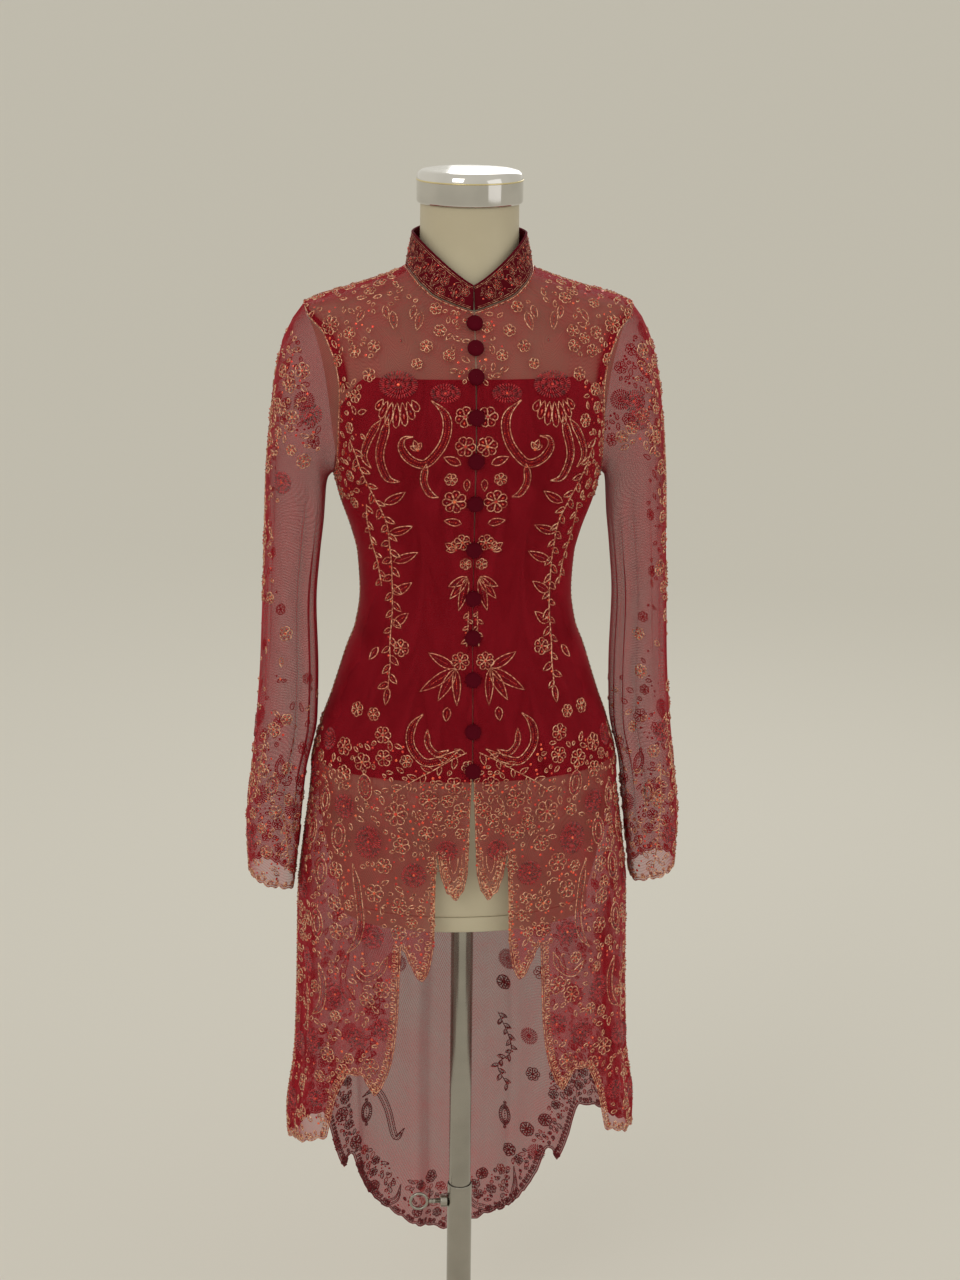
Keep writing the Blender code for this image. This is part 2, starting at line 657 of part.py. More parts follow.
# ---------------------------------------------------------------- the sleeves
def armhole_loop():
    """The left armhole's edge on the net, from underarm up the front and down the back."""
    first = len(LOWER_ROWS) + len(BODICE_ROWS) - 1
    last = first + len(ARMHOLE_ROWS)
    front = [row[-1] for row in net_rows(-1)[first:last + 1]]
    back = [row[-1] for row in net_rows(1)[first + 1:last]]
    return [over(net_surface, turn, height, NET_WALL / 2) for turn, height in front + back[::-1]]


def sleeve_point(ring, turn, share_down, shrink):
    """A point of a sleeve ring; turn 0 is its outer edge and 90 its front."""
    outer = Vector((ring.outer_x, 0, ring.outer_z))
    inner = Vector((ring.inner_x, 0, ring.inner_z))
    half = (outer - inner) / 2
    depth = sum(fold.depth * exp(-(turned_from(turn, fold.turn) / fold.spread) ** 2)
                for fold in SLEEVE_FOLDS) * eased(share_down * 3)
    width_part = 1 + (depth - shrink) / half.length
    depth_part = ring.half_depth + depth - shrink
    return ((outer + inner) / 2 + half * width_part * cos(radians(turn))
            + Vector((0, ARMHOLE_Y - depth_part * sin(radians(turn)), 0)))


def make_sleeves():
    """Long set-in sleeves that hang beside the body, clear of it."""
    loop = armhole_loop()
    turns = [degrees(atan2(-(p.y - ARMHOLE_Y) / ARMHOLE_HALF_DEPTH,
                           (p.z - ARMHOLE_HEIGHT) / ARMHOLE_HALF_HEIGHT)) for p in loop]
    grids = []
    for shrink in (NET_WALL, 0.0):
        rows = []
        head = []
        for point in loop:
            inward = Vector((0, ARMHOLE_Y - point.y, ARMHOLE_HEIGHT - point.z)).normalized()
            head.append(point + inward * (SEAM_GAP + shrink))
        rows.append(head)
        for i, ring in enumerate(SLEEVE):
            rows.append([sleeve_point(ring, turn, i / (len(SLEEVE) - 1), shrink) for turn in turns])
        grids.append(rows)
    wall("sleeve_left", *grids, "net", around=True)
    wall("sleeve_right", *grids, "net", around=True, mirrored=True)


# ---------------------------------------------------------------- collar and bindings
def collar_top(turn):
    """The collar's top edge: a V at the centre front, rising to the back of the neck."""
    side = abs(sin(radians(turn)))
    if cos(radians(turn)) > 0:
        height = COLLAR_FRONT_TOP + (COLLAR_SIDE_TOP - COLLAR_FRONT_TOP) * side ** 1.2
    else:
        height = COLLAR_BACK_TOP - (COLLAR_BACK_TOP - COLLAR_SIDE_TOP) * side ** 2
    return Vector((COLLAR_TOP_RADIUS * sin(radians(turn)), -COLLAR_TOP_RADIUS * cos(radians(turn)), height))


def collar_line(turn, share, distance):
    """A point up the collar's stand, from its seam at share 0 to its top edge at share 1."""
    foot = over(net_surface, turn, neckline_height(turn), NET_WALL / 2)
    top = collar_top(turn)
    up = (top - foot).normalized()
    level = Vector((sin(radians(turn)), -cos(radians(turn)), 0))
    out = (level - up * level.dot(up)).normalized()
    start = foot + up * (SEAM_GAP + NET_WALL)
    return start.lerp(top, share) + out * distance, up


def make_collar():
    """The stand-up collar in one piece round the neck, and the fine binding along its top."""
    spans = 20
    turns = [SEAM_TURN * 2.5 + (360 - SEAM_TURN * 5) * k / spans for k in range(spans + 1)]
    half = COLLAR_WALL / 2
    grids = [[[collar_line(turn, share, side)[0] for turn in turns] for share in (0.0, 0.5, 1.0)]
             for side in (-half, half)]
    wall("collar", *grids, "net")
    binding_half = half + COLLAR_BINDING_PROUD
    grids = []
    for side in (-binding_half, binding_half):
        rows = []
        for lift in (SEAM_GAP, SEAM_GAP + COLLAR_BINDING_HEIGHT):
            row = []
            for turn in turns:
                point, up = collar_line(turn, 1.0, side)
                row.append(point + up * lift)
            rows.append(row)
        grids.append(rows)
    wall("collar_binding", *grids, "button")


def band_pairs(rows, distance):
    """Edge and inner points of the binding under one panel, lining top to shoulder tip."""
    first = len(LOWER_ROWS) + len(BODICE_ROWS) - 1
    low = next(i for i, height in enumerate(ARMHOLE_ROWS) if height > BINDING_END_HEIGHT)
    grid = laid(rows, net_surface, distance)
    pairs = []
    for row in grid[first + low:first + len(ARMHOLE_ROWS)]:
        edge, beside = row[-1], row[-2]
        pairs.append((edge, edge.lerp(beside, min(1.0, BINDING_WIDTH / (beside - edge).length))))
    part = (BINDING_END_HEIGHT - ARMHOLE_ROWS[low - 1]) / (ARMHOLE_ROWS[low] - ARMHOLE_ROWS[low - 1])
    pairs[0] = tuple(under.lerp(upper, part) for under, upper in zip(pairs[0], pairs[1]))
    tip, beside = grid[first + len(ARMHOLE_ROWS)][-1:-3:-1]
    above = grid[first + len(ARMHOLE_ROWS) + 1][-1]
    under = grid[first + len(ARMHOLE_ROWS) - 1][-1]
    across = min(1.0, BINDING_WIDTH / (beside - tip).length)
    pairs.append((tip.lerp(under, BINDING_TIP_SHARE), tip.lerp(beside, across)))
    return pairs, (tip.lerp(above, BINDING_TIP_SHARE),
                   tip.lerp(above, BINDING_WIDTH / (above - tip).length))


def make_armhole_bindings():
    """The bound seam allowance inside each armhole, over the shoulder from lining to lining."""
    grids = []
    for distance in (-BINDING_GAP - BINDING_WALL, -BINDING_GAP):
        front, crown = band_pairs(net_rows(-1), distance)
        back, _ = band_pairs(net_rows(1), distance)
        path = front + [crown] + back[::-1]
        grids.append([[pair[side] for pair in path] for side in (0, 1)])
    wall("armhole_binding_left", *grids, "button")
    wall("armhole_binding_right", *grids, "button", mirrored=True)


# ---------------------------------------------------------------- buttons
def make_buttons():
    """Cloth-covered domes down the centre front, each square to the cloth under it."""
    profile = [(0, 0), (BUTTON_RADIUS * 0.96, 0), (BUTTON_RADIUS, BUTTON_RISE * 0.3),
               (BUTTON_RADIUS * 0.85, BUTTON_RISE * 0.68), (BUTTON_RADIUS * 0.5, BUTTON_RISE * 0.93),
               (0, BUTTON_RISE)]
    edge = [over(net_surface, 0.0, row[0][1], NET_WALL) for row in net_rows(-1)]
    for number, height in enumerate(BUTTON_HEIGHTS, start=1):
        low, high = next(pair for pair in zip(edge, edge[1:]) if pair[1].z > height)
        run = (high - low).normalized()
        normal = Vector((0, -run.z, run.y))
        seat = low.lerp(high, (height - low.z) / (high.z - low.z)) + normal * BUTTON_GAP
        place = Matrix.Translation(seat) @ normal.to_track_quat('Z', 'Y').to_matrix().to_4x4()
        turned_solid(f"button_{number:02d}", profile, "button", sides=12, place=place)


def clear_scene():
    for old in list(bpy.data.objects):
        bpy.data.objects.remove(old, do_unlink=True)


clear_scene()
make_stand()
make_clamp()
make_form()
make_lining()
make_net_panels()
make_sleeves()
make_collar()
make_armhole_bindings()
make_buttons()
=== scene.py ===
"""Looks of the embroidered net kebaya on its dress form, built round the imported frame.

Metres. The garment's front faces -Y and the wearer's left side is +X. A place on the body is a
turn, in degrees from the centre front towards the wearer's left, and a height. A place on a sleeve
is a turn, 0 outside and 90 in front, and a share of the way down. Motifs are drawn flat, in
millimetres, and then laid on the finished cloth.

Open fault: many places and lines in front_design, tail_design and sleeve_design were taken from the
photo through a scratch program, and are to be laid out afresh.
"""
import json
import random
from collections import namedtuple
from math import atan2, cos, degrees, pi, radians, sin

import bpy
import numpy as np
from mathutils import Matrix, Vector
from mathutils.bvhtree import BVHTree

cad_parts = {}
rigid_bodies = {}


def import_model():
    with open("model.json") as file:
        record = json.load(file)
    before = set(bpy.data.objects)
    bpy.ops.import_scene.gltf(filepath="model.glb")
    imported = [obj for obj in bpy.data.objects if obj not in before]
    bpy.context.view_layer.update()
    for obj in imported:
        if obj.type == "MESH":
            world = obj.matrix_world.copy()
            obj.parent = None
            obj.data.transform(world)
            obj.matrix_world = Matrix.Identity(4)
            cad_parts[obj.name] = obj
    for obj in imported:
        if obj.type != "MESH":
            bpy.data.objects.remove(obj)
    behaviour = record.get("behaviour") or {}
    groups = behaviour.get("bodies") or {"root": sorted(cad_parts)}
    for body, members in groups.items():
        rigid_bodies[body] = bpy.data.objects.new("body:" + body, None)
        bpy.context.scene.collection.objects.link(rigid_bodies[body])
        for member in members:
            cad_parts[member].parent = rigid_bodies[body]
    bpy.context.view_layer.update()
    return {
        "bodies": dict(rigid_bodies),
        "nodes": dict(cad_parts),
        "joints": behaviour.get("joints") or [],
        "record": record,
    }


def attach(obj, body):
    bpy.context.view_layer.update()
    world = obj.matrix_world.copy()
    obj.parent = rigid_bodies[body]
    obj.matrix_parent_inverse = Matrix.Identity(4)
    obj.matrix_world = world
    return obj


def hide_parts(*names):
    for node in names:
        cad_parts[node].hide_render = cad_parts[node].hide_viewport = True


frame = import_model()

# ---------------------------------------------------------------- sizes of the part
FORM_GAP = 0.0020
LINING_WALL = 0.0010
LAYER_GAP = 0.0016
NET_WALL = 0.0010
COLLAR_WALL = 0.0016
SEAM_GAP = 0.0003
NET_OFFSET = FORM_GAP + LINING_WALL + LAYER_GAP + NET_WALL / 2
HIP_HEIGHT = 0.863
UNDERARM_HEIGHT = 1.190
SHOULDER_TIP_HEIGHT = 1.3655
NECK_FRONT_HEIGHT = 1.366
NECK_SIDE_HEIGHT = 1.402
NECK_BACK_HEIGHT = 1.408
CLOSURE_FOOT_HEIGHT = 0.889
PARTING_SLOPE = 8.3
LINING_HEM_HEIGHT = 0.877
LINING_TOP_HEIGHT = 1.304
LINING_ARMHOLE_TOP = 1.268
SEAM_TURN = 0.10
ARMHOLE_Y = 0.002
ARMHOLE_HALF_DEPTH = 0.054
ARMHOLE_HEIGHT = (SHOULDER_TIP_HEIGHT + UNDERARM_HEIGHT) / 2
ARMHOLE_HALF_HEIGHT = (SHOULDER_TIP_HEIGHT - UNDERARM_HEIGHT) / 2
BUST_TURN = 33.0
BUST_HEIGHT = 1.240
BUST_PROJECTION = 0.013
BUST_SPREAD_TURN = 24.0
BUST_SPREAD_HEIGHT = 0.050
BINDING_WIDTH = 0.0110
BINDING_END_HEIGHT = 1.291
SHOULDER_LIFT = 0.0022
SHOULDER_LIFT_RUN = 0.050
COLLAR_TOP_RADIUS = 0.0590
COLLAR_FRONT_TOP = 1.3935
COLLAR_SIDE_TOP = 1.4410
COLLAR_BACK_TOP = 1.4460
BUTTON_RADIUS = 0.0085
BUTTON_RISE = 0.0060
POLE_RADIUS = 0.0125
POLE_FOOT = 0.170
POLE_TOP = 0.716
SOCKET_RADIUS = 0.0128
TUBE_RADIUS = 0.0142
TUBE_TOP = 0.345
BASE_RADIUS = 0.160
BASE_THICKNESS = 0.012
CLAMP_HEIGHT = 0.322
FORM_FOOT = 0.717
FORM_TOP = 1.4717
LID_FOOT = 0.699
CAP_FOOT = 1.472
CAP_RADIUS = 0.055
CAP_TOP = 1.506
AXIS_RADIUS = 0.0002       # where a turned piece closes on its axis
MM = 0.001

# height, half width, front depth, back depth, squareness
BODY = np.array([
    (0.717, 0.1390, 0.0940, 0.1010, 2.2), (0.760, 0.1490, 0.1000, 0.1100, 2.2),
    (0.810, 0.1575, 0.1035, 0.1155, 2.2), (0.863, 0.1622, 0.1045, 0.1165, 2.2),
    (0.913, 0.1507, 0.1025, 0.1110, 2.2), (0.941, 0.1407, 0.0990, 0.1050, 2.2),
    (0.969, 0.1317, 0.0955, 0.0970, 2.2), (0.996, 0.1232, 0.0915, 0.0890, 2.2),
    (1.023, 0.1132, 0.0865, 0.0815, 2.2), (1.060, 0.1082, 0.0835, 0.0765, 2.2),
    (1.103, 0.1107, 0.0855, 0.0775, 2.2), (1.130, 0.1172, 0.0885, 0.0815, 2.2),
    (1.170, 0.1307, 0.0940, 0.0885, 2.3), (1.200, 0.1375, 0.0975, 0.0940, 2.3),
    (1.243, 0.1435, 0.0990, 0.1005, 2.3), (1.290, 0.1495, 0.0940, 0.1035, 2.3),
    (1.330, 0.1580, 0.0800, 0.0980, 2.3), (1.350, 0.1645, 0.0675, 0.0870, 2.2),
    (1.360, 0.1675, 0.0610, 0.0780, 2.2), (1.366, 0.1655, 0.0575, 0.0720, 2.1),
    (1.374, 0.1395, 0.0550, 0.0670, 2.1), (1.382, 0.1130, 0.0530, 0.0625, 2.1),
    (1.390, 0.0880, 0.0515, 0.0590, 2.0), (1.397, 0.0700, 0.0507, 0.0565, 2.0),
    (1.404, 0.0590, 0.0505, 0.0545, 2.0), (1.415, 0.0530, 0.0505, 0.0530, 2.0),
    (1.440, 0.0512, 0.0505, 0.0515, 2.0), (1.472, 0.0510, 0.0510, 0.0510, 2.0),
])
SKIRT = np.array([
    (0.170, 0.1800, 0.1270, 0.1700, 2.1), (0.250, 0.1850, 0.1270, 0.1680, 2.1),
    (0.350, 0.1930, 0.1270, 0.1630, 2.1), (0.447, 0.1985, 0.1265, 0.1590, 2.1),
    (0.523, 0.1890, 0.1240, 0.1550, 2.1), (0.598, 0.1858, 0.1220, 0.1500, 2.1),
    (0.715, 0.1828, 0.1190, 0.1400, 2.1), (0.790, 0.1745, 0.1140, 0.1300, 2.2),
    (0.830, 0.1690, 0.1105, 0.1240, 2.2), (0.863, 0.1660, 0.1083, 0.1203, 2.2),
])
Fold = namedtuple("Fold", "turn depth spread top_height")
FOLDS = [
    Fold(62.0, 0.0035, 7.0, 0.780), Fold(78.0, -0.0040, 7.0, 0.800),
    Fold(104.0, -0.0050, 8.0, 0.800), Fold(122.0, 0.0060, 8.0, 0.760),
    Fold(150.0, -0.0060, 7.0, 0.740), Fold(166.0, 0.0050, 6.0, 0.760),
    Fold(193.0, -0.0160, 5.5, 0.820), Fold(207.0, 0.0060, 7.0, 0.760),
    Fold(236.0, 0.0060, 8.0, 0.760), Fold(256.0, -0.0050, 8.0, 0.800),
    Fold(284.0, -0.0040, 7.0, 0.800), Fold(299.0, 0.0035, 7.0, 0.780),
]
FOLD_RUN = 0.200
# Finer creases of the net itself, uneven in length, depth and spacing.
CREASES = [
    Fold(98.0, 0.0016, 1.8, 0.770), Fold(111.0, -0.0018, 2.0, 0.700),
    Fold(118.0, 0.0015, 1.6, 0.640), Fold(131.0, -0.0022, 1.7, 0.740),
    Fold(139.0, 0.0017, 2.2, 0.600), Fold(158.5, -0.0020, 1.3, 0.800),
    Fold(169.5, -0.0026, 1.0, 0.830), Fold(173.0, -0.0020, 0.9, 0.800),
    Fold(177.0, -0.0030, 1.0, 0.840), Fold(185.5, 0.0016, 1.6, 0.720),
    Fold(199.5, -0.0018, 1.2, 0.760), Fold(204.0, 0.0014, 1.5, 0.650),
    Fold(214.0, -0.0020, 1.6, 0.730), Fold(227.0, -0.0018, 2.0, 0.700),
    Fold(243.0, 0.0016, 2.0, 0.660), Fold(262.0, -0.0018, 1.7, 0.740),
    Fold(54.0, -0.0014, 1.8, 0.700), Fold(70.0, -0.0018, 1.9, 0.740),
    Fold(84.0, 0.0015, 1.7, 0.690), Fold(276.0, 0.0015, 1.7, 0.690),
    Fold(290.0, -0.0018, 1.9, 0.740), Fold(306.0, -0.0014, 1.8, 0.700),
]
# turn and height of the hem, centre front to side
FRONT_HEM = np.array([
    (0.8, 0.784), (2.2, 0.761), (4.7, 0.750), (7.4, 0.757), (9.4, 0.776), (10.7, 0.799),
    (11.7, 0.700), (13.2, 0.668), (16.0, 0.655), (19.4, 0.671), (23.0, 0.692), (24.0, 0.604),
    (26.0, 0.556), (32.0, 0.517), (38.0, 0.537), (43.0, 0.535), (48.5, 0.502), (50.5, 0.455),
    (57.5, 0.446), (66.0, 0.436), (74.0, 0.430), (82.0, 0.424), (90.0, 0.420),
])
# side to centre back
BACK_HEM = np.array([
    (90.0, 0.420), (98.0, 0.410), (106.0, 0.402), (113.0, 0.397), (121.0, 0.392), (130.0, 0.385),
    (134.0, 0.335), (138.0, 0.303), (142.0, 0.318), (145.5, 0.282), (151.0, 0.249), (158.0, 0.224),
    (165.5, 0.208), (173.0, 0.197), (180.0, 0.186),
])
# outer x, outer z, inner x, inner z, half depth of the left sleeve, top to cuff
SLEEVE = np.array([
    (0.1830, 1.3545, 0.1435, 1.1885, 0.0540), (0.1940, 1.3300, 0.1470, 1.1840, 0.0535),
    (0.2030, 1.2900, 0.1490, 1.1750, 0.0520), (0.2085, 1.2450, 0.1500, 1.1620, 0.0510),
    (0.2130, 1.1900, 0.1515, 1.1400, 0.0495), (0.2160, 1.1200, 0.1560, 1.1000, 0.0475),
    (0.2190, 1.0500, 0.1600, 1.0450, 0.0460), (0.2220, 0.9800, 0.1585, 0.9780, 0.0450),
    (0.2270, 0.9200, 0.1600, 0.9180, 0.0440), (0.2335, 0.8600, 0.1725, 0.8580, 0.0430),
    (0.2400, 0.7950, 0.1800, 0.7900, 0.0430), (0.2380, 0.7450, 0.1880, 0.7280, 0.0420),
])
# Long creases down a sleeve: turn at the top and at the foot, depth, spread, first and last share.
SleeveCrease = namedtuple("SleeveCrease", "top_turn foot_turn depth spread start end")
SLEEVE_CREASES = [
    SleeveCrease(108, 108, -0.0040, 15.0, 0.10, 1.3), SleeveCrease(145, 145, 0.0025, 15.0, 0.10, 1.3),
    SleeveCrease(215, 215, 0.0025, 16.0, 0.10, 1.3), SleeveCrease(252, 252, -0.0035, 16.0, 0.10, 1.3),
    SleeveCrease(118, 112, -0.0075, 4.5, 0.22, 0.93), SleeveCrease(128, 130, 0.0030, 4.0, 0.25, 0.90),
    SleeveCrease(139, 137, -0.0060, 4.0, 0.30, 0.97), SleeveCrease(20, 34, -0.0022, 3.2, 0.30, 0.78),
    SleeveCrease(47, 52, -0.0020, 3.0, 0.42, 0.74), SleeveCrease(66, 80, 0.0016, 5.0, 0.35, 0.80),
    SleeveCrease(160, 166, -0.0030, 5.0, 0.25, 0.95), SleeveCrease(228, 236, -0.0030, 4.5, 0.28, 0.88),
    SleeveCrease(268, 280, -0.0022, 3.5, 0.35, 0.80), SleeveCrease(312, 322, -0.0024, 3.5, 0.25, 0.75),
    SleeveCrease(340, 345, 0.0018, 4.0, 0.40, 0.85),
]


# ---------------------------------------------------------------- the body surface
def smooth_rows(table, heights):
    """Monotone cubics through each column of a table, whose first column is the place."""
    place, values = table[:, 0], table[:, 1:]
    rises = np.diff(values, axis=0) / np.diff(place)[:, None]
    before, after = rises[:-1], rises[1:]
    alike = before * after > 0
    middle = np.where(alike, 2 * before * after / np.where(alike, before + after, 1), 0)
    slopes = np.vstack([rises[:1], middle, rises[-1:]])
    z = np.clip(heights, place[0], place[-1])
    i = np.clip(np.searchsorted(place, z, side="right") - 1, 0, len(place) - 2)
    span = (place[i + 1] - place[i])[..., None]
    s = (z - place[i])[..., None] / span
    return ((1 + 2 * s) * (1 - s) ** 2 * values[i] + s * s * (3 - 2 * s) * values[i + 1]
            + span * (s * (1 - s) ** 2 * slopes[i] - s * s * (1 - s) * slopes[i + 1]))


def eased(share):
    share = np.clip(share, 0, 1)
    return share * share * (3 - 2 * share)


def bell(turn, centre, spread):
    return np.exp(-(((turn - centre + 180) % 360 - 180) / spread) ** 2)


def level_out(turn):
    """The level direction away from the body's axis."""
    turn = np.radians(turn)
    return np.stack([np.sin(turn), -np.cos(turn), np.zeros_like(turn)], -1)


def section_points(table, turn, height):
    half_width, front, back, squareness = np.moveaxis(smooth_rows(table, height), -1, 0)
    across, ahead = np.sin(np.radians(turn)), np.cos(np.radians(turn))
    depth = np.where(ahead > 0, front, back)
    power = 2 / squareness
    return np.stack([np.sign(across) * half_width * np.abs(across) ** power,
                     -np.sign(ahead) * depth * np.abs(ahead) ** power, height], -1)


def body_surface(turn, height):
    """The dress form's skin."""
    rise = (height - BUST_HEIGHT) / BUST_SPREAD_HEIGHT
    swell = sum(bell(turn, side * BUST_TURN, BUST_SPREAD_TURN) for side in (-1, 1)) * np.exp(-rise * rise)
    return section_points(BODY, turn, height) + level_out(turn) * (BUST_PROJECTION * swell)[..., None]


def normals_of(surface, turn, height):
    along = surface(turn + 0.5, height) - surface(turn - 0.5, height)
    up = surface(turn, height + 0.0015) - surface(turn, height - 0.0015)
    normal = np.cross(along, up)
    return normal / np.linalg.norm(normal, axis=-1, keepdims=True)


def over_body(turn, height, distance):
    turn, height = np.broadcast_arrays(np.asarray(turn, float), np.asarray(height, float))
    distance = np.broadcast_to(distance, turn.shape)
    return body_surface(turn, height) + normals_of(body_surface, turn, height) * distance[..., None]


def hanging(folds, turn, height):
    return sum(fold.depth * bell(turn, fold.turn, fold.spread)
               * eased((fold.top_height - height) / FOLD_RUN) for fold in folds)


def net_surface(turn, height, off=0.0):
    """The middle of the net: close on the body down to the hip, then hanging in folds."""
    turn, height = np.broadcast_arrays(np.asarray(turn, float), np.asarray(height, float))
    lift = SHOULDER_LIFT * eased((height - BINDING_END_HEIGHT) / SHOULDER_LIFT_RUN)
    close = over_body(turn, height, NET_OFFSET + lift + off)
    depth = NET_WALL / 2 + off + hanging(FOLDS + CREASES, turn, height)
    free = section_points(SKIRT, turn, height) + level_out(turn) * depth[..., None]
    return np.where((height >= HIP_HEIGHT)[..., None], close, free)


def neckline_height(turn):
    side = np.abs(np.sin(np.radians(turn)))
    front = NECK_FRONT_HEIGHT + (NECK_SIDE_HEIGHT - NECK_FRONT_HEIGHT) * side ** 0.75
    back = NECK_BACK_HEIGHT - (NECK_BACK_HEIGHT - NECK_SIDE_HEIGHT) * side ** 2
    return np.where(np.cos(np.radians(turn)) > 0, front, back)


def lining_top(turn):
    fall = eased((np.minimum(turn, 180 - turn) - 40) / 26)
    return LINING_TOP_HEIGHT + (LINING_ARMHOLE_TOP - LINING_TOP_HEIGHT) * fall


def armhole_edge(top_of, part, facing):
    """The turn where a row of a panel, a part of the way to its top, meets the armhole."""
    def height_of(turn):
        return UNDERARM_HEIGHT + part * (top_of(turn) - UNDERARM_HEIGHT)

    seam = 90 + facing * SEAM_TURN
    if not UNDERARM_HEIGHT < height_of(90.0) < SHOULDER_TIP_HEIGHT:
        return seam
    near, far = 90.0, 90 + facing * 60
    for _ in range(30):
        middle = np.array((near + far) / 2)
        point = body_surface(middle, height_of(middle))
        if (((point[1] - ARMHOLE_Y) / ARMHOLE_HALF_DEPTH) ** 2
                + ((point[2] - ARMHOLE_HEIGHT) / ARMHOLE_HALF_HEIGHT) ** 2) > 1:
            far = float(middle)
        else:
            near = float(middle)
    return near


# ---------------------------------------------------------------- meshes
def mesh_object(name, points, faces, material, uv=None):
    """An object of points and faces of one kind, shaded smooth, with UVs in metres."""
    mesh = bpy.data.meshes.new(name)
    count, corners = faces.shape
    mesh.vertices.add(len(points))
    mesh.vertices.foreach_set("co", points.astype(np.float32).ravel())
    mesh.loops.add(count * corners)
    mesh.loops.foreach_set("vertex_index", faces.astype(np.int32).ravel())
    mesh.polygons.add(count)
    mesh.polygons.foreach_set("loop_start", np.arange(0, count * corners, corners, dtype=np.int32))
    mesh.update(calc_edges=True)
    mesh.shade_smooth()
    if uv is not None:
        layer = mesh.uv_layers.new(name="cloth")
        layer.data.foreach_set("uv", uv[faces.ravel()].astype(np.float32).ravel())
    mesh.materials.append(material)
    piece = bpy.data.objects.new(name, mesh)
    bpy.context.scene.collection.objects.link(piece)
    return piece


def grid_faces(rows, columns, around=False):
    index = np.arange(rows * columns).reshape(rows, columns)
    if around:
        index = np.hstack([index, index[:, :1]])
    return np.stack([index[:-1, :-1], index[:-1, 1:], index[1:, 1:], index[1:, :-1]], -1).reshape(-1, 4)


def cloth_uv(grid):
    """Distances along each row and up each column of a grid, so that a weave keeps its size."""
    across = np.linalg.norm(np.diff(grid, axis=1), axis=-1)
    up = np.linalg.norm(np.diff(grid, axis=0), axis=-1)
    u = np.hstack([np.zeros((len(grid), 1)), np.cumsum(across, axis=1)])
    v = np.vstack([np.zeros((1, grid.shape[1])), np.cumsum(up, axis=0)])
    return np.stack([u, v], -1).reshape(-1, 2)


def run_along(line):
    """The distance along a line at each of its points."""
    return np.concatenate([[0], np.cumsum(np.linalg.norm(np.diff(line, axis=0), axis=1))])


def points_along(line, places):
    """The points of a line at some distances along it."""
    run = run_along(line)
    return np.stack([np.interp(places, run, line[:, axis]) for axis in range(line.shape[1])], -1)


def circle(sides):
    """Even turns round a circle, in radians."""
    return np.linspace(0, 2 * pi, sides + 1)[:-1]


def turned(radius, height, turns):
    """Points round the Z axis."""
    return np.stack([radius * np.cos(turns), radius * np.sin(turns), height + 0 * turns], -1)


def ringed_object(name, grid, material, place=None, sharp=None, uv=None):
    """An object of rings that close round, moved to its place, with edges over an angle sharp."""
    points = grid.reshape(-1, 3)
    if place is not None:
        points = points @ np.array(place.to_3x3()).T + np.array(place.translation)
    piece = mesh_object(name, points, grid_faces(*grid.shape[:2], True), material, uv)
    if sharp:
        piece.data.set_sharp_from_angle(angle=radians(sharp))
    return piece


class Cloth:
    """A finished sheet: its mesh object, and the surface that needlework is laid on."""

    def __init__(self, name, grid, material, around=False, mirrored=False, thickness=0.0, inside_out=False):
        grid = grid * (-1, 1, 1) if mirrored else grid
        faces = grid_faces(*grid.shape[:2], around)
        if mirrored != inside_out:
            faces = faces[:, ::-1]
        points = grid.reshape(-1, 3)
        a, b, c, d = (points[faces[:, corner]] for corner in range(4))
        faces = faces[np.linalg.norm(np.cross(c - a, d - b), axis=1) > 1e-7]
        self.grid = grid
        self.tree = BVHTree.FromPolygons(points.tolist(), faces.tolist())
        self.piece = mesh_object(name, points, faces, material, cloth_uv(grid))
        if thickness:
            solid = self.piece.modifiers.new("thickness", 'SOLIDIFY')
            solid.thickness = thickness
            solid.offset = 0
        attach(self.piece, "form")

    def lay(self, points):
        """Points moved to the nearest place on the cloth, and the cloth's normals there."""
        found = [self.tree.find_nearest(point)[:2] for point in points.tolist()]
        return np.array([place for place, _ in found]), np.array([normal for _, normal in found])


# ---------------------------------------------------------------- materials
def new_material(name):
    material = bpy.data.materials.new(name)
    material.use_nodes = True
    tree = material.node_tree
    return material, tree, tree.nodes["Principled BSDF"]


def set_inputs(node, **values):
    for key, value in values.items():
        node.inputs[key.replace("_", " ")].default_value = value


def add(tree, kind, inputs=None, **settings):
    node = tree.nodes.new(kind)
    for key, value in settings.items():
        setattr(node, key, value)
    for key, value in (inputs or {}).items():
        if isinstance(value, bpy.types.NodeSocket):
            tree.links.new(value, node.inputs[key])
        else:
            node.inputs[key].default_value = value
    return node


def mapped(tree, source, scale):
    """Object or UV coordinates, stretched by a scale for each axis."""
    coordinates = add(tree, "ShaderNodeTexCoord")
    return add(tree, "ShaderNodeMapping", {"Vector": coordinates.outputs[source], "Scale": scale})


def noise(tree, vector, scale, detail=2.0):
    return add(tree, "ShaderNodeTexNoise", {"Vector": vector, "Scale": scale, "Detail": detail})


def ramp(tree, factor, stops):
    node = add(tree, "ShaderNodeValToRGB", {"Fac": factor})
    elements = node.color_ramp.elements
    while len(elements) < len(stops):
        elements.new(0.5)
    for element, (place, color) in zip(elements, stops):
        element.position = place
        element.color = (*color, 1)
    return node.outputs["Color"]


def bump(tree, shader, height, distance, strength=1.0):
    node = add(tree, "ShaderNodeBump", {"Height": height, "Distance": distance, "Strength": strength})
    tree.links.new(node.outputs["Normal"], shader.inputs["Normal"])


def math_node(tree, operation, a, b=0.0):
    return add(tree, "ShaderNodeMath", {0: a, 1: b}, operation=operation).outputs[0]


NET_CELL = 0.0016
NET_DARK = (0.27, 0.0045, 0.012)
NET_LIGHT = (0.37, 0.0100, 0.022)
THREAD_COVER = 0.59
GAP_COVER = 0.36


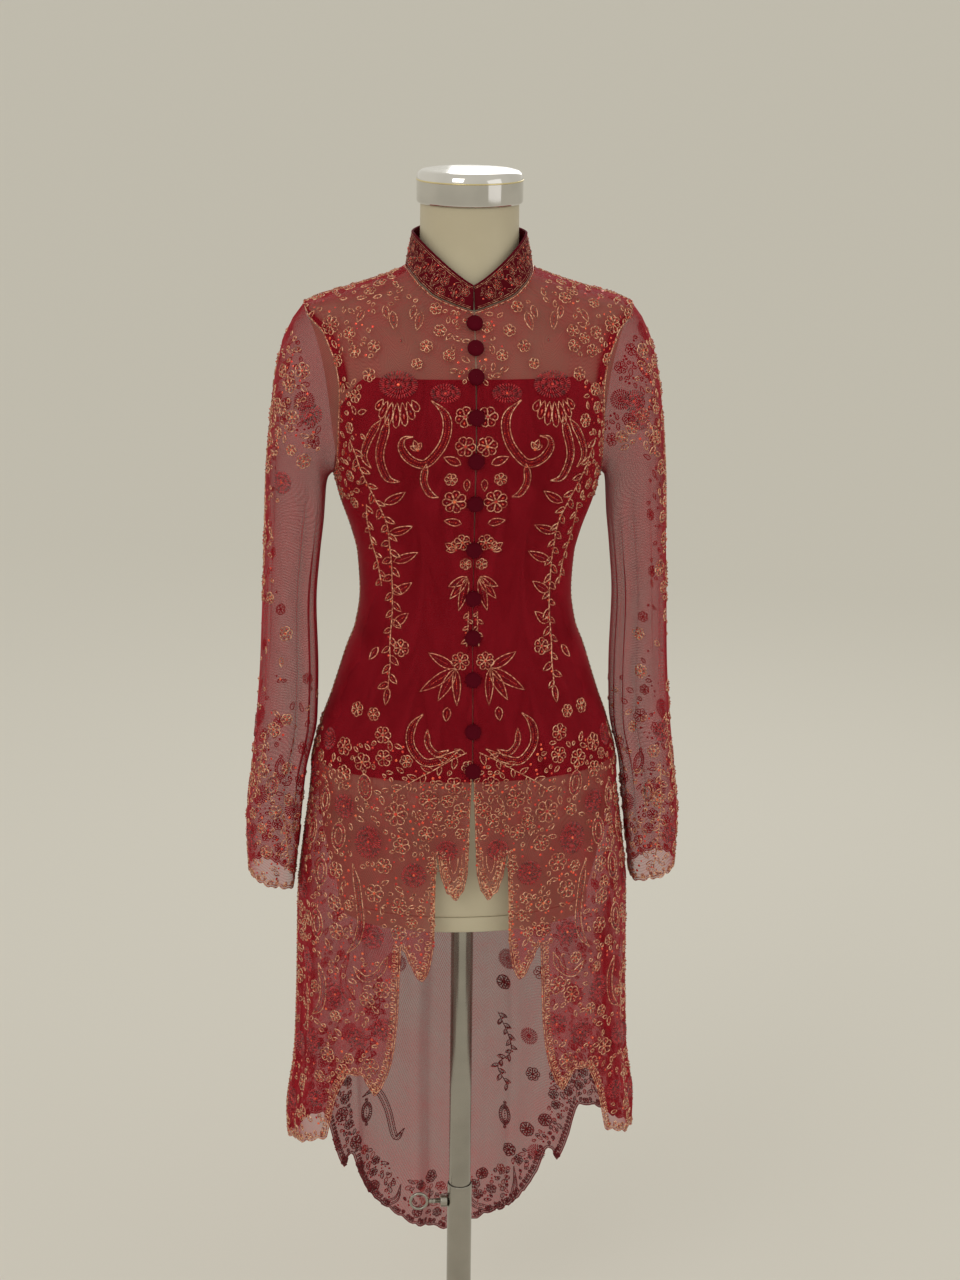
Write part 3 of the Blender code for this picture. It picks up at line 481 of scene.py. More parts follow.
def net_material(name, denser=0.0):
    """Sheer net: crossing diagonal threads, denser where it turns away, with a dusty bloom.

    denser is the cover that it gains on the way down from 0.80 to 0.60 m.
    """
    material, tree, shader = new_material(name)
    uv = add(tree, "ShaderNodeUVMap", uv_map="cloth").outputs["UV"]
    waves = []
    for turn in (radians(32), radians(-32)):
        turned = add(tree, "ShaderNodeMapping", {"Vector": uv, "Rotation": (0, 0, turn)})
        waves.append(add(tree, "ShaderNodeTexWave",
                         {"Vector": turned.outputs[0], "Scale": pi / 10 / NET_CELL, "Distortion": 0.4,
                          "Detail": 0.0}, bands_direction='X').outputs["Fac"])
    threads = math_node(tree, 'MAXIMUM', *waves)
    body = add(tree, "ShaderNodeMapRange", {"Value": threads, "To Min": GAP_COVER,
                                            "To Max": THREAD_COVER}).outputs[0]
    clouds = noise(tree, uv, 22.0, 3.0).outputs["Fac"]
    turned_away = add(tree, "ShaderNodeLayerWeight", {"Blend": 0.5}).outputs["Facing"]
    edge = math_node(tree, 'MULTIPLY', math_node(tree, 'POWER', turned_away, 2.6), 0.62)
    cover = math_node(tree, 'ADD', body, math_node(tree, 'MULTIPLY', clouds, 0.10))
    alpha = math_node(tree, 'ADD', cover, edge)
    if denser:
        height = add(tree, "ShaderNodeSeparateXYZ", {"Vector": mapped(tree, "Object", (1, 1, 1)).outputs[0]})
        low = add(tree, "ShaderNodeMapRange", {"Value": height.outputs["Z"], "From Min": 0.80,
                                               "From Max": 0.60, "To Min": 0.0, "To Max": denser})
        alpha = math_node(tree, 'ADD', alpha, low.outputs[0])
    alpha = math_node(tree, 'MINIMUM', alpha, 1.0)
    tree.links.new(alpha, shader.inputs["Alpha"])
    tree.links.new(ramp(tree, clouds, [(0.3, NET_DARK), (0.7, NET_LIGHT)]), shader.inputs["Base Color"])
    set_inputs(shader, Roughness=0.62, Sheen_Weight=0.06, Sheen_Roughness=0.45,
               Sheen_Tint=(0.90, 0.16, 0.22, 1), Specular_IOR_Level=0.05)
    bump(tree, shader, threads, 0.0002, 0.5)
    return material


def knit_material(name, dark, light, sheen, roughness=0.6, rib=0.0012):
    """Close knit or woven cloth: fine ribs, cloudy colour and a soft bloom."""
    material, tree, shader = new_material(name)
    uv = add(tree, "ShaderNodeUVMap", uv_map="cloth").outputs["UV"]
    ribs = add(tree, "ShaderNodeTexWave", {"Vector": uv, "Scale": pi / 10 / rib, "Distortion": 1.2,
                                           "Detail": 1.0, "Detail Scale": 2.0})
    clouds = noise(tree, uv, 14.0, 4.0).outputs["Fac"]
    tree.links.new(ramp(tree, clouds, [(0.32, dark), (0.72, light)]), shader.inputs["Base Color"])
    set_inputs(shader, Roughness=roughness, Sheen_Weight=sheen, Sheen_Roughness=0.4,
               Sheen_Tint=(0.90, 0.02, 0.12, 1), Specular_IOR_Level=0.06)
    bump(tree, shader, ribs.outputs["Fac"], 0.00025, 0.6)
    return material


def speckled_material(name, stops, size, roughness, metallic=0.0, coat=0.0, grain=0.0):
    """Small things whose colour changes from one to the next: cords, beads and sequins."""
    material, tree, shader = new_material(name)
    place = mapped(tree, "Object", (1, 1, 1)).outputs[0]
    spots = noise(tree, place, 1 / size, 1.0).outputs["Fac"]
    tree.links.new(ramp(tree, spots, stops), shader.inputs["Base Color"])
    set_inputs(shader, Roughness=roughness, Metallic=metallic, Coat_Weight=coat, Coat_Roughness=0.08)
    if grain:
        fine = noise(tree, place, 1 / grain, 0.0).outputs["Fac"]
        bump(tree, shader, fine, grain * 0.4, 0.8)
    return material


def shell_material():
    """The form's painted shell: satin, slightly mottled, yellower in patches."""
    material, tree, shader = new_material("form_shell")
    place = mapped(tree, "Object", (1, 1, 1)).outputs[0]
    clouds = noise(tree, place, 9.0, 5.0).outputs["Fac"]
    tree.links.new(ramp(tree, clouds, [(0.35, (0.52, 0.460, 0.330)), (0.65, (0.59, 0.530, 0.385))]),
                   shader.inputs["Base Color"])
    scuffs = noise(tree, place, 160.0, 3.0).outputs["Fac"]
    rough = add(tree, "ShaderNodeMapRange", {"Value": scuffs, "To Min": 0.34, "To Max": 0.50})
    tree.links.new(rough.outputs[0], shader.inputs["Roughness"])
    bump(tree, shader, noise(tree, place, 60.0, 2.0).outputs["Fac"], 0.0004, 0.25)
    set_inputs(shader, Specular_IOR_Level=0.4)
    return material


def metal_material(name, color, roughness, stretch, streak):
    """Polished or brushed metal: faint streaks round or along the piece."""
    material, tree, shader = new_material(name)
    place = mapped(tree, "Object", stretch).outputs[0]
    streaks = noise(tree, place, 40.0, 4.0).outputs["Fac"]
    rough = add(tree, "ShaderNodeMapRange", {"Value": streaks, "To Min": roughness,
                                             "To Max": roughness + streak})
    tree.links.new(rough.outputs[0], shader.inputs["Roughness"])
    smudges = noise(tree, mapped(tree, "Object", (1, 1, 1)).outputs[0], 18.0, 3.0).outputs["Fac"]
    dull = tuple(c * 0.86 for c in color)
    tree.links.new(ramp(tree, smudges, [(0.35, dull), (0.6, color)]), shader.inputs["Base Color"])
    set_inputs(shader, Metallic=1.0)
    bump(tree, shader, streaks, 0.00008, 0.15)
    return material


GOLD_RAMP = [(0.36, (0.30, 0.065, 0.045)), (0.50, (0.60, 0.250, 0.145)), (0.64, (0.92, 0.56, 0.36))]
RED_RAMP = [(0.36, (0.14, 0.004, 0.010)), (0.50, (0.48, 0.018, 0.018)), (0.64, (0.85, 0.085, 0.035))]
BRIGHT_RAMP = [(0.34, (0.45, 0.006, 0.010)), (0.52, (0.85, 0.045, 0.020)), (0.66, (1.0, 0.20, 0.07))]
BUGLE_RAMP = [(0.36, (0.10, 0.0015, 0.004)), (0.50, (0.34, 0.003, 0.010)), (0.64, (0.60, 0.018, 0.028))]
REVERSE_RAMP = [(0.35, (0.10, 0.004, 0.007)), (0.60, (0.20, 0.010, 0.016))]
MATERIALS = {
    "net": net_material("sheer_net"),
    "tail_net": net_material("sheer_tail_net", 0.16),
    "lining": knit_material("stretch_lining", (0.068, 0.0004, 0.0030), (0.105, 0.0006, 0.0055), 0.08),
    "collar": knit_material("collar_cloth", (0.075, 0.0005, 0.004), (0.120, 0.0010, 0.008), 0.08),
    "binding": knit_material("binding_cloth", (0.085, 0.0007, 0.006), (0.130, 0.0014, 0.012), 0.08),
    "button": knit_material("button_cloth", (0.075, 0.0010, 0.006), (0.105, 0.0020, 0.010), 0.08,
                            0.8, 0.0008),
    "cord": speckled_material("cord", GOLD_RAMP, 0.0024, 0.32, 0.62, 0.0, 0.0005),
    "bead": speckled_material("bead", RED_RAMP, 0.0026, 0.12, 0.0, 1.0),
    "sequin": speckled_material("sequin", BRIGHT_RAMP, 0.0045, 0.16, 0.45, 0.6),
    "bugle": speckled_material("bugle", BUGLE_RAMP, 0.0028, 0.30, 0.0, 0.3),
    "reverse": speckled_material("reverse_thread", REVERSE_RAMP, 0.0030, 0.65, 0.0, 0.0, 0.0006),
    "shell": shell_material(),
    "chrome": metal_material("chrome", (0.72, 0.70, 0.67), 0.05, (1, 1, 8), 0.05),
    "steel": metal_material("steel", (0.40, 0.375, 0.33), 0.20, (6, 6, 0.4), 0.10),
    "brass": metal_material("cap_edge", (0.80, 0.68, 0.38), 0.18, (1, 1, 8), 0.08),
}


# ---------------------------------------------------------------- cutting the cloth
def front_closure(height):
    return SEAM_TURN + PARTING_SLOPE * np.maximum(0.0, CLOSURE_FOOT_HEIGHT - height)


def closed_seam(height):
    return SEAM_TURN + 0 * height


def no_closure(height):
    return 0.0 * height


SCALLOP_DEPTH = 0.0036
SCALLOP_WIDTH = 0.0165


def hem_columns(table, middle, count):
    """Turns away from the middle for the columns, and the hem's height at each, finely scalloped."""
    away = np.abs(table[:, 0] - middle)
    order = np.argsort(away)
    away, heights = away[order], table[order, 1]
    columns = np.union1d(np.linspace(0, 90.0, count), away)
    hem = smooth_rows(np.stack([away, heights], 1), columns)[:, 0]
    run = run_along(section_points(SKIRT, columns, hem))
    return columns, hem - SCALLOP_DEPTH * np.abs(np.sin(pi * run / SCALLOP_WIDTH)) ** 0.7


def panel_places(columns, hem, low_rows, top_of, side_rows, facing, closure, lower_count):
    """The turn and height of each point of a half panel, hem to top and middle to side."""
    middle = 90 + facing * 90
    shares = columns / 90
    turns, heights = [], []
    if hem is not None:
        for part in np.linspace(0, 1, lower_count + 1)[:-1]:
            height = hem + part * (low_rows[0] - hem)
            turns.append(np.maximum(columns, closure(height)))
            heights.append(height)
    for height in low_rows:
        start = closure(height)
        turns.append(start + shares * (90 - start))
        heights.append(height + 0 * shares)
    side_top = top_of(np.array(90.0))
    for side_height in side_rows:
        part = (side_height - UNDERARM_HEIGHT) / (side_top - UNDERARM_HEIGHT)
        reach = abs(armhole_edge(top_of, part, facing) - middle)
        start = closure(side_height)
        turn = start + shares * (reach - start)
        turns.append(turn)
        heights.append(UNDERARM_HEIGHT + part * (top_of(middle - facing * turn) - UNDERARM_HEIGHT))
    turns = np.minimum(np.array(turns), 90 - SEAM_TURN)
    return middle - facing * turns, np.array(heights)


def both_halves(turns, heights):
    """A half panel joined to its mirror image at the middle."""
    return (np.hstack([turns[:, ::-1], 360 - turns[:, 1:]]),
            np.hstack([heights[:, ::-1], heights[:, 1:]]))


BODICE_ROWS = np.linspace(CLOSURE_FOOT_HEIGHT, UNDERARM_HEIGHT, 61)
ARMHOLE_ROWS = np.linspace(UNDERARM_HEIGHT, SHOULDER_TIP_HEIGHT, 37)[1:]
SHOULDER_ROWS = np.linspace(SHOULDER_TIP_HEIGHT, NECK_SIDE_HEIGHT, 9)[1:]
UPPER_ROWS = np.concatenate([ARMHOLE_ROWS, SHOULDER_ROWS])
LINING_ROWS = np.linspace(LINING_HEM_HEIGHT, UNDERARM_HEIGHT, 46)
LINING_UPPER_ROWS = np.linspace(UNDERARM_HEIGHT, LINING_ARMHOLE_TOP, 13)[1:]
FRONT_LOWER = 96
BACK_LOWER = 140


def front_places():
    columns, hem = hem_columns(FRONT_HEM, 0.0, 84)
    return panel_places(columns, hem, BODICE_ROWS, neckline_height, UPPER_ROWS, -1, front_closure,
                        FRONT_LOWER)


def back_places():
    columns, hem = hem_columns(BACK_HEM, 180.0, 76)
    return panel_places(columns, hem, BODICE_ROWS, neckline_height, UPPER_ROWS, 1, no_closure,
                        BACK_LOWER)


FRONT = front_places()
BACK_HALF = back_places()
BACK = both_halves(*BACK_HALF)


def make_net_panels():
    front = net_surface(*FRONT)
    return {
        "front_left": Cloth("front_left_net", front, MATERIALS["net"]),
        "front_right": Cloth("front_right_net", front, MATERIALS["net"], mirrored=True),
        "back": Cloth("back_net", net_surface(*BACK), MATERIALS["tail_net"]),
    }


def make_linings():
    """The close lining, in two fronts and a back."""
    cloths = {}
    distance = FORM_GAP + LINING_WALL / 2
    for facing, names in ((-1, ("lining_front_left", "lining_front_right")), (1, ("lining_back",))):
        closure = closed_seam if facing < 0 else no_closure
        places = panel_places(np.linspace(0, 90, 51), None, LINING_ROWS, lining_top, LINING_UPPER_ROWS,
                              facing, closure, 0)
        if facing > 0:
            places = both_halves(*places)
        grid = over_body(*places, distance)
        for name in names:
            cloths[name] = Cloth(name + "_cloth", grid, MATERIALS["lining"],
                                 mirrored=name.endswith("right"), thickness=LINING_WALL)
    return cloths


def armhole_places(facing, lowest=UNDERARM_HEIGHT):
    """Rows of the panel that end on the armhole, and the row at its foot."""
    turns, heights = FRONT if facing < 0 else BACK_HALF
    count = len(SHOULDER_ROWS)
    first = len(turns) - len(UPPER_ROWS) - 1
    rows = slice(first, len(turns) - count)
    keep = np.concatenate([[UNDERARM_HEIGHT], ARMHOLE_ROWS]) >= lowest
    return turns[rows][keep], heights[rows][keep]


def armhole_loop():
    """The left armhole's edge, from the underarm up the front and down the back."""
    front, back = armhole_places(-1), armhole_places(1)
    turns = np.concatenate([front[0][:, -1], back[0][1:-1, -1][::-1]])
    heights = np.concatenate([front[1][:, -1], back[1][1:-1, -1][::-1]])
    return net_surface(turns, heights)


SLEEVE_TABLE = np.column_stack([np.linspace(0, 1, len(SLEEVE)), SLEEVE])


def sleeve_surface(turn, share):
    """The left sleeve; turn 0 is its outer edge and 90 its front."""
    turn, share = np.broadcast_arrays(np.asarray(turn, float), np.asarray(share, float))
    outer_x, outer_z, inner_x, inner_z, half_depth = np.moveaxis(smooth_rows(SLEEVE_TABLE, share), -1, 0)
    depth = 0
    for crease in SLEEVE_CREASES:
        centre = crease.top_turn + (crease.foot_turn - crease.top_turn) * share
        depth = depth + (crease.depth * bell(turn, centre, crease.spread)
                         * eased((share - crease.start) / 0.22) * eased((crease.end - share) / 0.16))
    outer = np.stack([outer_x, 0 * share, outer_z], -1)
    inner = np.stack([inner_x, 0 * share, inner_z], -1)
    half = (outer - inner) / 2
    length = np.linalg.norm(half, axis=-1)
    part = 1 + (depth - NET_WALL / 2) / length
    point = (outer + inner) / 2 + half * (part * np.cos(np.radians(turn)))[..., None]
    point[..., 1] += ARMHOLE_Y - (half_depth + depth - NET_WALL / 2) * np.sin(np.radians(turn))
    return point


def make_sleeves():
    """Long set-in sleeves that hang beside the body, finely scalloped at the cuff."""
    loop = armhole_loop()
    inward = np.array((0, ARMHOLE_Y, ARMHOLE_HEIGHT)) - loop * (0, 1, 1)
    inward /= np.linalg.norm(inward, axis=1, keepdims=True)
    turns = np.degrees(np.arctan2(-(loop[:, 1] - ARMHOLE_Y) / ARMHOLE_HALF_DEPTH,
                                  (loop[:, 2] - ARMHOLE_HEIGHT) / ARMHOLE_HALF_HEIGHT))
    turns = np.degrees(np.unwrap(np.radians(turns)))
    foot_turns = np.linspace(turns[0], turns[0] + 360 * np.sign(turns[-1] - turns[0]), len(turns) + 1)[:-1]
    rows = [loop + inward * (SEAM_GAP + NET_WALL / 2)]
    for share in np.linspace(0, 1, 116):
        even = eased(share / 0.3)
        rows.append(sleeve_surface(turns + (foot_turns - turns) * even, share))
    grid = np.array(rows)
    fine = 0.0032 * np.abs(np.sin(np.radians(foot_turns) * 8)) ** 0.7
    for row in range(-6, 0):
        grid[row, :, 2] -= fine * (row + 7) / 6
    return {side: Cloth("sleeve_" + side + "_net", grid, MATERIALS["net"], around=True,
                        mirrored=side == "right", inside_out=True) for side in ("left", "right")}


def collar_lines(turn, share, distance=0.0, above=0.0):
    """Points up the collar's stand, from its seam at share 0 to its top edge at share 1."""
    turn, share = np.broadcast_arrays(np.asarray(turn, float), np.asarray(share, float))
    foot = net_surface(turn, neckline_height(turn))
    side = np.abs(np.sin(np.radians(turn)))
    front = COLLAR_FRONT_TOP + (COLLAR_SIDE_TOP - COLLAR_FRONT_TOP) * side ** 1.2
    back = COLLAR_BACK_TOP - (COLLAR_BACK_TOP - COLLAR_SIDE_TOP) * side ** 2
    level = level_out(turn)
    top = level * COLLAR_TOP_RADIUS
    top[..., 2] = np.where(np.cos(np.radians(turn)) > 0, front, back)
    up = top - foot
    up /= np.linalg.norm(up, axis=-1, keepdims=True)
    out = level - up * np.sum(level * up, axis=-1, keepdims=True)
    out /= np.linalg.norm(out, axis=-1, keepdims=True)
    start = foot + up * (SEAM_GAP + NET_WALL)
    return start + (top - start) * share[..., None] + out * distance + up * above


def make_collar():
    turns = np.linspace(SEAM_TURN * 2.5, 360 - SEAM_TURN * 2.5, 181)
    grid = collar_lines(turns[None, :], np.linspace(0, 1, 15)[:, None])
    collar = Cloth("collar_stand", grid, MATERIALS["collar"], thickness=COLLAR_WALL)
    rim = []
    for turn in np.linspace(-30, 210, 9):
        around, lift = cos(radians(turn)), sin(radians(turn))
        rim.append(collar_lines(turns, 1.0, -0.00125 * around, SEAM_GAP + 0.0006 + 0.0013 * lift))
    binding = Cloth("collar_binding_cloth", np.array(rim), MATERIALS["binding"])
    return collar, binding


def make_armhole_bindings():
    """The bound allowance inside each armhole, over the shoulder from lining to lining."""
    inset = -NET_WALL / 2 - 0.0014 - 0.0004
    steps = np.array([0.0003, 0.0030, 0.0058, 0.0085, BINDING_WIDTH])
    strips = []
    for facing in (-1, 1):
        turns, heights = armhole_places(facing, BINDING_END_HEIGHT)
        grid = net_surface(turns, heights, inset)[:, ::-1]
        strips.append(np.array([points_along(row, steps) for row in grid[:-1]]))
    front, back = strips
    tip = (front[-1, 0] + back[-1, 0]) / 2 + np.array((0, 0, 0.0012))
    seam = net_surface(np.full(9, 90.0), SHOULDER_ROWS[0] + np.linspace(0, 0.014, 9), inset)
    crown = points_along(seam, steps)
    turning = []
    for first, last in ((front[-1], crown), (crown, back[-1])):
        for part in (0.25, 0.5, 0.75, 1.0)[:4 if first is front[-1] else 3]:
            mixed = first + (last - first) * part
            away = mixed - tip
            length = np.linalg.norm(away, axis=1, keepdims=True)
            turning.append(tip + away / np.maximum(length, 1e-6) * np.maximum(steps, 0.0006)[:, None])
    grid = np.concatenate([front, turning, back[::-1]])
    return {side: Cloth("armhole_binding_" + side + "_cloth", grid, MATERIALS["binding"],
                        mirrored=side == "right", thickness=0.0008) for side in ("left", "right")}


# ---------------------------------------------------------------- needlework
class Frame:
    """A flat drawing place: millimetres right and up of an anchor on the cloth."""

    def __init__(self, origin, right, up):
        self.origin = np.asarray(origin, float)
        self.right = right / np.linalg.norm(right)
        up = up - self.right * np.dot(up, self.right)
        self.up = up / np.linalg.norm(up)

    def at(self, x, y, turn=0.0):
        """A frame moved to x, y and turned anticlockwise."""
        c, s = cos(radians(turn)), sin(radians(turn))
        right = self.right * c + self.up * s
        up = self.up * c - self.right * s
        return Frame(self.point(x, y), right, up)

    def point(self, x, y):
        return self.origin + (self.right * x + self.up * y) * MM

    def points(self, flat):
        flat = np.asarray(flat, float)
        return self.origin + (flat[:, :1] * self.right + flat[:, 1:] * self.up) * MM


def body_frame(turn, height, mirrored=False):
    """A frame on the net; mirrored puts it on the other side of the centre front or back."""
    if mirrored:
        turn = -turn
    origin = net_surface(turn, height)
    right = net_surface(turn + 0.8, height) - net_surface(turn - 0.8, height)
    up = net_surface(turn, height + 0.004) - net_surface(turn, height - 0.004)
    return Frame(origin, -right if mirrored else right, up)


def sleeve_frame(side, turn, share):
    """A frame on a sleeve whose right is the right of someone looking at its front."""
    flip = np.array((side, 1, 1))
    share = min(max(share, 0.02), 0.985)
    origin = sleeve_surface(turn, share) * flip
    right = (sleeve_surface(turn + 2, share) - sleeve_surface(turn - 2, share)) * flip * -side
    up = (sleeve_surface(turn, share - 0.01) - sleeve_surface(turn, share + 0.01)) * flip
    return Frame(origin, right, up)


def smooth_line(points, step):
    """A curve through points, resampled at an even step."""
    points = np.asarray(points, float)
    padded = np.vstack([2 * points[0] - points[1], points, 2 * points[-1] - points[-2]])
    s = np.linspace(0, 1, 9)[:-1, None]
    pieces = [0.5 * (2 * b + (c - a) * s + (2 * a - 5 * b + 4 * c - d) * s ** 2
                     + (3 * b - a - 3 * c + d) * s ** 3)
              for a, b, c, d in zip(padded, padded[1:], padded[2:], padded[3:])]
    line = np.vstack(pieces + [points[-1:]])
    length = run_along(line)[-1]
    return points_along(line, np.linspace(0, length, max(2, round(length / step) + 1)))


def directions(line):
    along = np.gradient(line, axis=0)
    return along / np.maximum(np.linalg.norm(along, axis=1, keepdims=True), 1e-9)


PETAL_SIDES = 10
LEAF_SIDES = 12
# steps along sewn lines, in millimetres
BAND_STEP = 2.2
VINE_STEP = 2.4
BORDER_STEP = 2.8
OVAL_STEP = 3.0
BAND_BEADS = (-0.42, 0.42)     # where a scroll's two rows of beads lie, in parts of its half width
BAND_TAPER = 0.25
BORDER_DOUBLE = 2.3            # from a border's first line to its second


def teardrop(length, width):
    """A petal's outline: narrow where it starts, round at its tip."""
    phase = np.linspace(0, 2 * pi, PETAL_SIDES + 1)
    across = width * 0.62 * np.sin(phase) * np.abs(np.sin(phase / 2)) ** 0.8
    return np.stack([across, length * (1 - np.cos(phase)) / 2], -1)


def leaf_outline(length, width, bend):
    """A leaf's outline, pointed at its tip and bent to one side."""
    s = np.linspace(0, 1, LEAF_SIDES // 2 + 1)
    half = width * 0.5 * np.sin(pi * s ** 0.8) ** 0.85
    spine = bend * s * s
    up = np.stack([spine - half, length * s], -1)
    down = np.stack([spine + half, length * s], -1)[::-1]
    return np.vstack([up, down[1:]])


class Needlework:
    """Cords, beads, bugles and sequins sewn to one cloth, gathered into a few joined meshes."""

    def __init__(self, name, cloth, seed, reverse=False):
        self.name = name
        self.cloth = cloth
        self.random = random.Random(seed)
        self.side = -1 if reverse else 1
        self.reverse = reverse
        self.cords, self.beads, self.bugles, self.sequins = [], [], [], []
        self.centres, self.radii = [], []

    def take(self, point, radius):
        self.centres.append(point)
        self.radii.append(radius * MM)

    def room(self, point):
        """The distance in millimetres to the nearest motif."""
        if not self.centres:
            return 99.0
        gaps = np.linalg.norm(np.array(self.centres) - point, axis=1) - self.radii
        return float(gaps.min()) / MM

    def cord(self, points, radius=0.56):
        self.cords.append((np.asarray(points, float), radius))

    def bead(self, point, radius=0.85):
        self.beads.append((point, point, radius))

    def long_bead(self, first, last, radius=0.75):
        self.beads.append((first, last, radius))

    def bugle(self, first, last, radius=0.62):
        self.bugles.append((first, last, radius))

    def sequin(self, point, radius=1.7):
        self.sequins.append((point, radius))

    # motifs
    def petal(self, frame, turn, length, width, start=0.0, beaded=True):
        frame = frame.at(0, 0, turn).at(0, start)
        self.cord(frame.points(teardrop(length, width)))
        if beaded:
            self.long_bead(frame.point(0, length * 0.36), frame.point(0, length * 0.80),
                           min(1.25, width * 0.27))

    def flower(self, frame, radius, petals=6, turn=0.0):
        width = radius * min(1.0, 4.6 / petals)
        for k in range(petals):
            self.petal(frame, turn + 360 * k / petals, radius * 0.86, width, radius * 0.14)
        self.sequin(frame.origin, max(1.2, radius * 0.15))
        self.take(frame.origin, radius)

    def leaf(self, frame, turn, length, width, bend=0.0):
        frame = frame.at(0, 0, turn)
        self.cord(frame.points(leaf_outline(length, width, bend)))
        count = max(1, int(length * 0.62 / 2.3))
        for k in range(count):
            s = 0.26 + 0.50 * (k + 0.5) / count
            self.bead(frame.point(bend * s * s, length * s), min(0.95, width * 0.16))
        self.take(frame.point(bend * 0.25, length / 2), length * 0.36)

    def spray(self, frame, turn, leaves, length, width, fan=110.0):
        """Leaves that fan out from one place, the middle ones longest."""
        for k in range(leaves):
            part = (k + 0.5) / leaves - 0.5
            size = 1 - 0.75 * abs(part)
            self.leaf(frame, turn + fan * part, length * size, width * (0.85 + 0.15 * size), -6 * part)
        self.sequin(frame.origin, 1.5)

    def ring(self, frame, wide, high, inner, outer, count, slant=0.0):
        """Bugles set round an oval, between two parts of its radius."""
        for k in range(count):
            a, b = 2 * pi * k / count, 2 * pi * k / count + slant
            self.bugle(frame.point(wide * inner * sin(a), high * inner * cos(a)),
                       frame.point(wide * outer * sin(b), high * outer * cos(b)), 0.66)

    def oval_line(self, frame, wide, high):
        turn = np.linspace(0, 2 * pi, max(10, round(3.1 * (wide + high) / OVAL_STEP)) + 1)
        self.cord(frame.points(np.stack([wide * np.sin(turn), high * np.cos(turn)], -1)))

    def rosette(self, frame, wide, high):
        """Close rings of glass bugles round a sequin."""
        girth = (wide + high) / 2
        self.ring(frame, wide, high, 0.14, 0.34, max(7, round(girth * 0.8)), 0.25)
        self.ring(frame, wide, high, 0.38, 0.62, max(10, round(girth * 1.5)), 0.12)
        self.ring(frame, wide, high, 0.66, 0.94, round(girth * 2.2), 0.08)
        self.sequin(frame.origin, max(1.5, girth * 0.10))
        self.take(frame.origin, girth * 1.12)

    def oval(self, frame, wide, high, turn=0.0):
        """A long medallion: two lines with bugles between, and a leaf of beads in the middle."""
        frame = frame.at(0, 0, turn)
        self.oval_line(frame, wide, high)
        self.oval_line(frame, wide * 0.55, high * 0.62)
        self.ring(frame, wide, high, 0.68, 0.92, round((wide + high) * 1.0), 0.06)
        for k in range(4):
            self.bead(frame.point(0, high * (-0.38 + 0.25 * k)), 1.0)
        self.petal(frame, 0, high * 0.34, wide * 0.5, high * 1.02)
        self.petal(frame, 180, high * 0.34, wide * 0.5, high * 1.02)
        for k in (-1, 1):
            self.take(frame.point(0, k * high * 0.5), wide * 1.1)

    def band(self, points, width):
        """A scroll along a line: cords down both edges and beads between them."""
        line = smooth_line(points, BAND_STEP * MM)
        laid, normals = self.cloth.lay(line)
        sideways = np.cross(normals, directions(line)) * MM
        s = np.linspace(0, 1, len(laid))
        wide = width / 2 * eased(s / BAND_TAPER + 0.12) * eased((1 - s) / BAND_TAPER + 0.12)
        self.cord(laid + sideways * wide[:, None])
        self.cord(laid - sideways * wide[:, None])
        for part in BAND_BEADS:
            for k in range(1, len(laid) - 1):
                if wide[k] > 1.4:
                    self.bead(laid[k] + sideways[k] * wide[k] * part)
        for k in range(0, len(laid), 3):
            self.take(laid[k], width * 0.62)

    def vine(self, points, leaf, spacing, side=1):
        """A stem with leaves that leave it on each side in turn, side first."""
        line = smooth_line(points, VINE_STEP * MM)
        laid, normals = self.cloth.lay(line)
        along = directions(line)
        self.cord(laid)
        every = max(1, round(spacing / VINE_STEP))
        side = -side
        for number, k in enumerate(range(1, len(laid) - 1, every)):
            side = -side
            if np.linalg.norm(np.cross(normals[k], along[k])) < 0.5:
                continue
            frame = Frame(laid[k], -np.cross(normals[k], along[k]), along[k])
            size = leaf * self.random.uniform(0.8, 1.15)
            self.leaf(frame, -side * self.random.uniform(32, 52), size, size * 0.46, side * size * 0.12)
            if number % 2:
                self.sequin(frame.point(-side * 1.8, 0), 1.25)
        for k in range(0, len(laid), 3):
            self.take(laid[k], 2.5)

    def border(self, edge, beside, inset, loop, spacing, doubled=True):
        """A trimming that follows an edge: lines, and a row of loops that stand on them.

        beside is the next row of the cloth, which shows the way in.
        """
        line = smooth_line(edge, BORDER_STEP * MM)
        laid, normals = self.cloth.lay(line)
        inwards = np.cross(normals, directions(line)) * MM
        middle = np.argmin(np.linalg.norm(line - edge[len(edge) // 2], axis=1))
        if np.dot(inwards[middle], beside[len(edge) // 2] - edge[len(edge) // 2]) < 0:
            inwards = -inwards
        self.cord(laid + inwards * inset)
        if doubled:
            self.cord(laid + inwards * (inset + BORDER_DOUBLE))
        every = max(1, round(spacing / BORDER_STEP))
        for k in range(every // 2, len(laid), every):
            up = inwards[k] / MM
            if np.linalg.norm(up) < 0.5:
                continue
            right = np.cross(up, normals[k])
            frame = Frame(laid[k] + inwards[k] * (inset + 0.6 + (BORDER_DOUBLE if doubled else 0)), right, up)
            if loop:
                self.petal(frame, self.random.uniform(-8, 8), loop, loop * 0.62)
                self.take(frame.point(0, loop / 2), loop * 0.5)
            else:
                self.bead(frame.point(0, 0.9), 0.85)

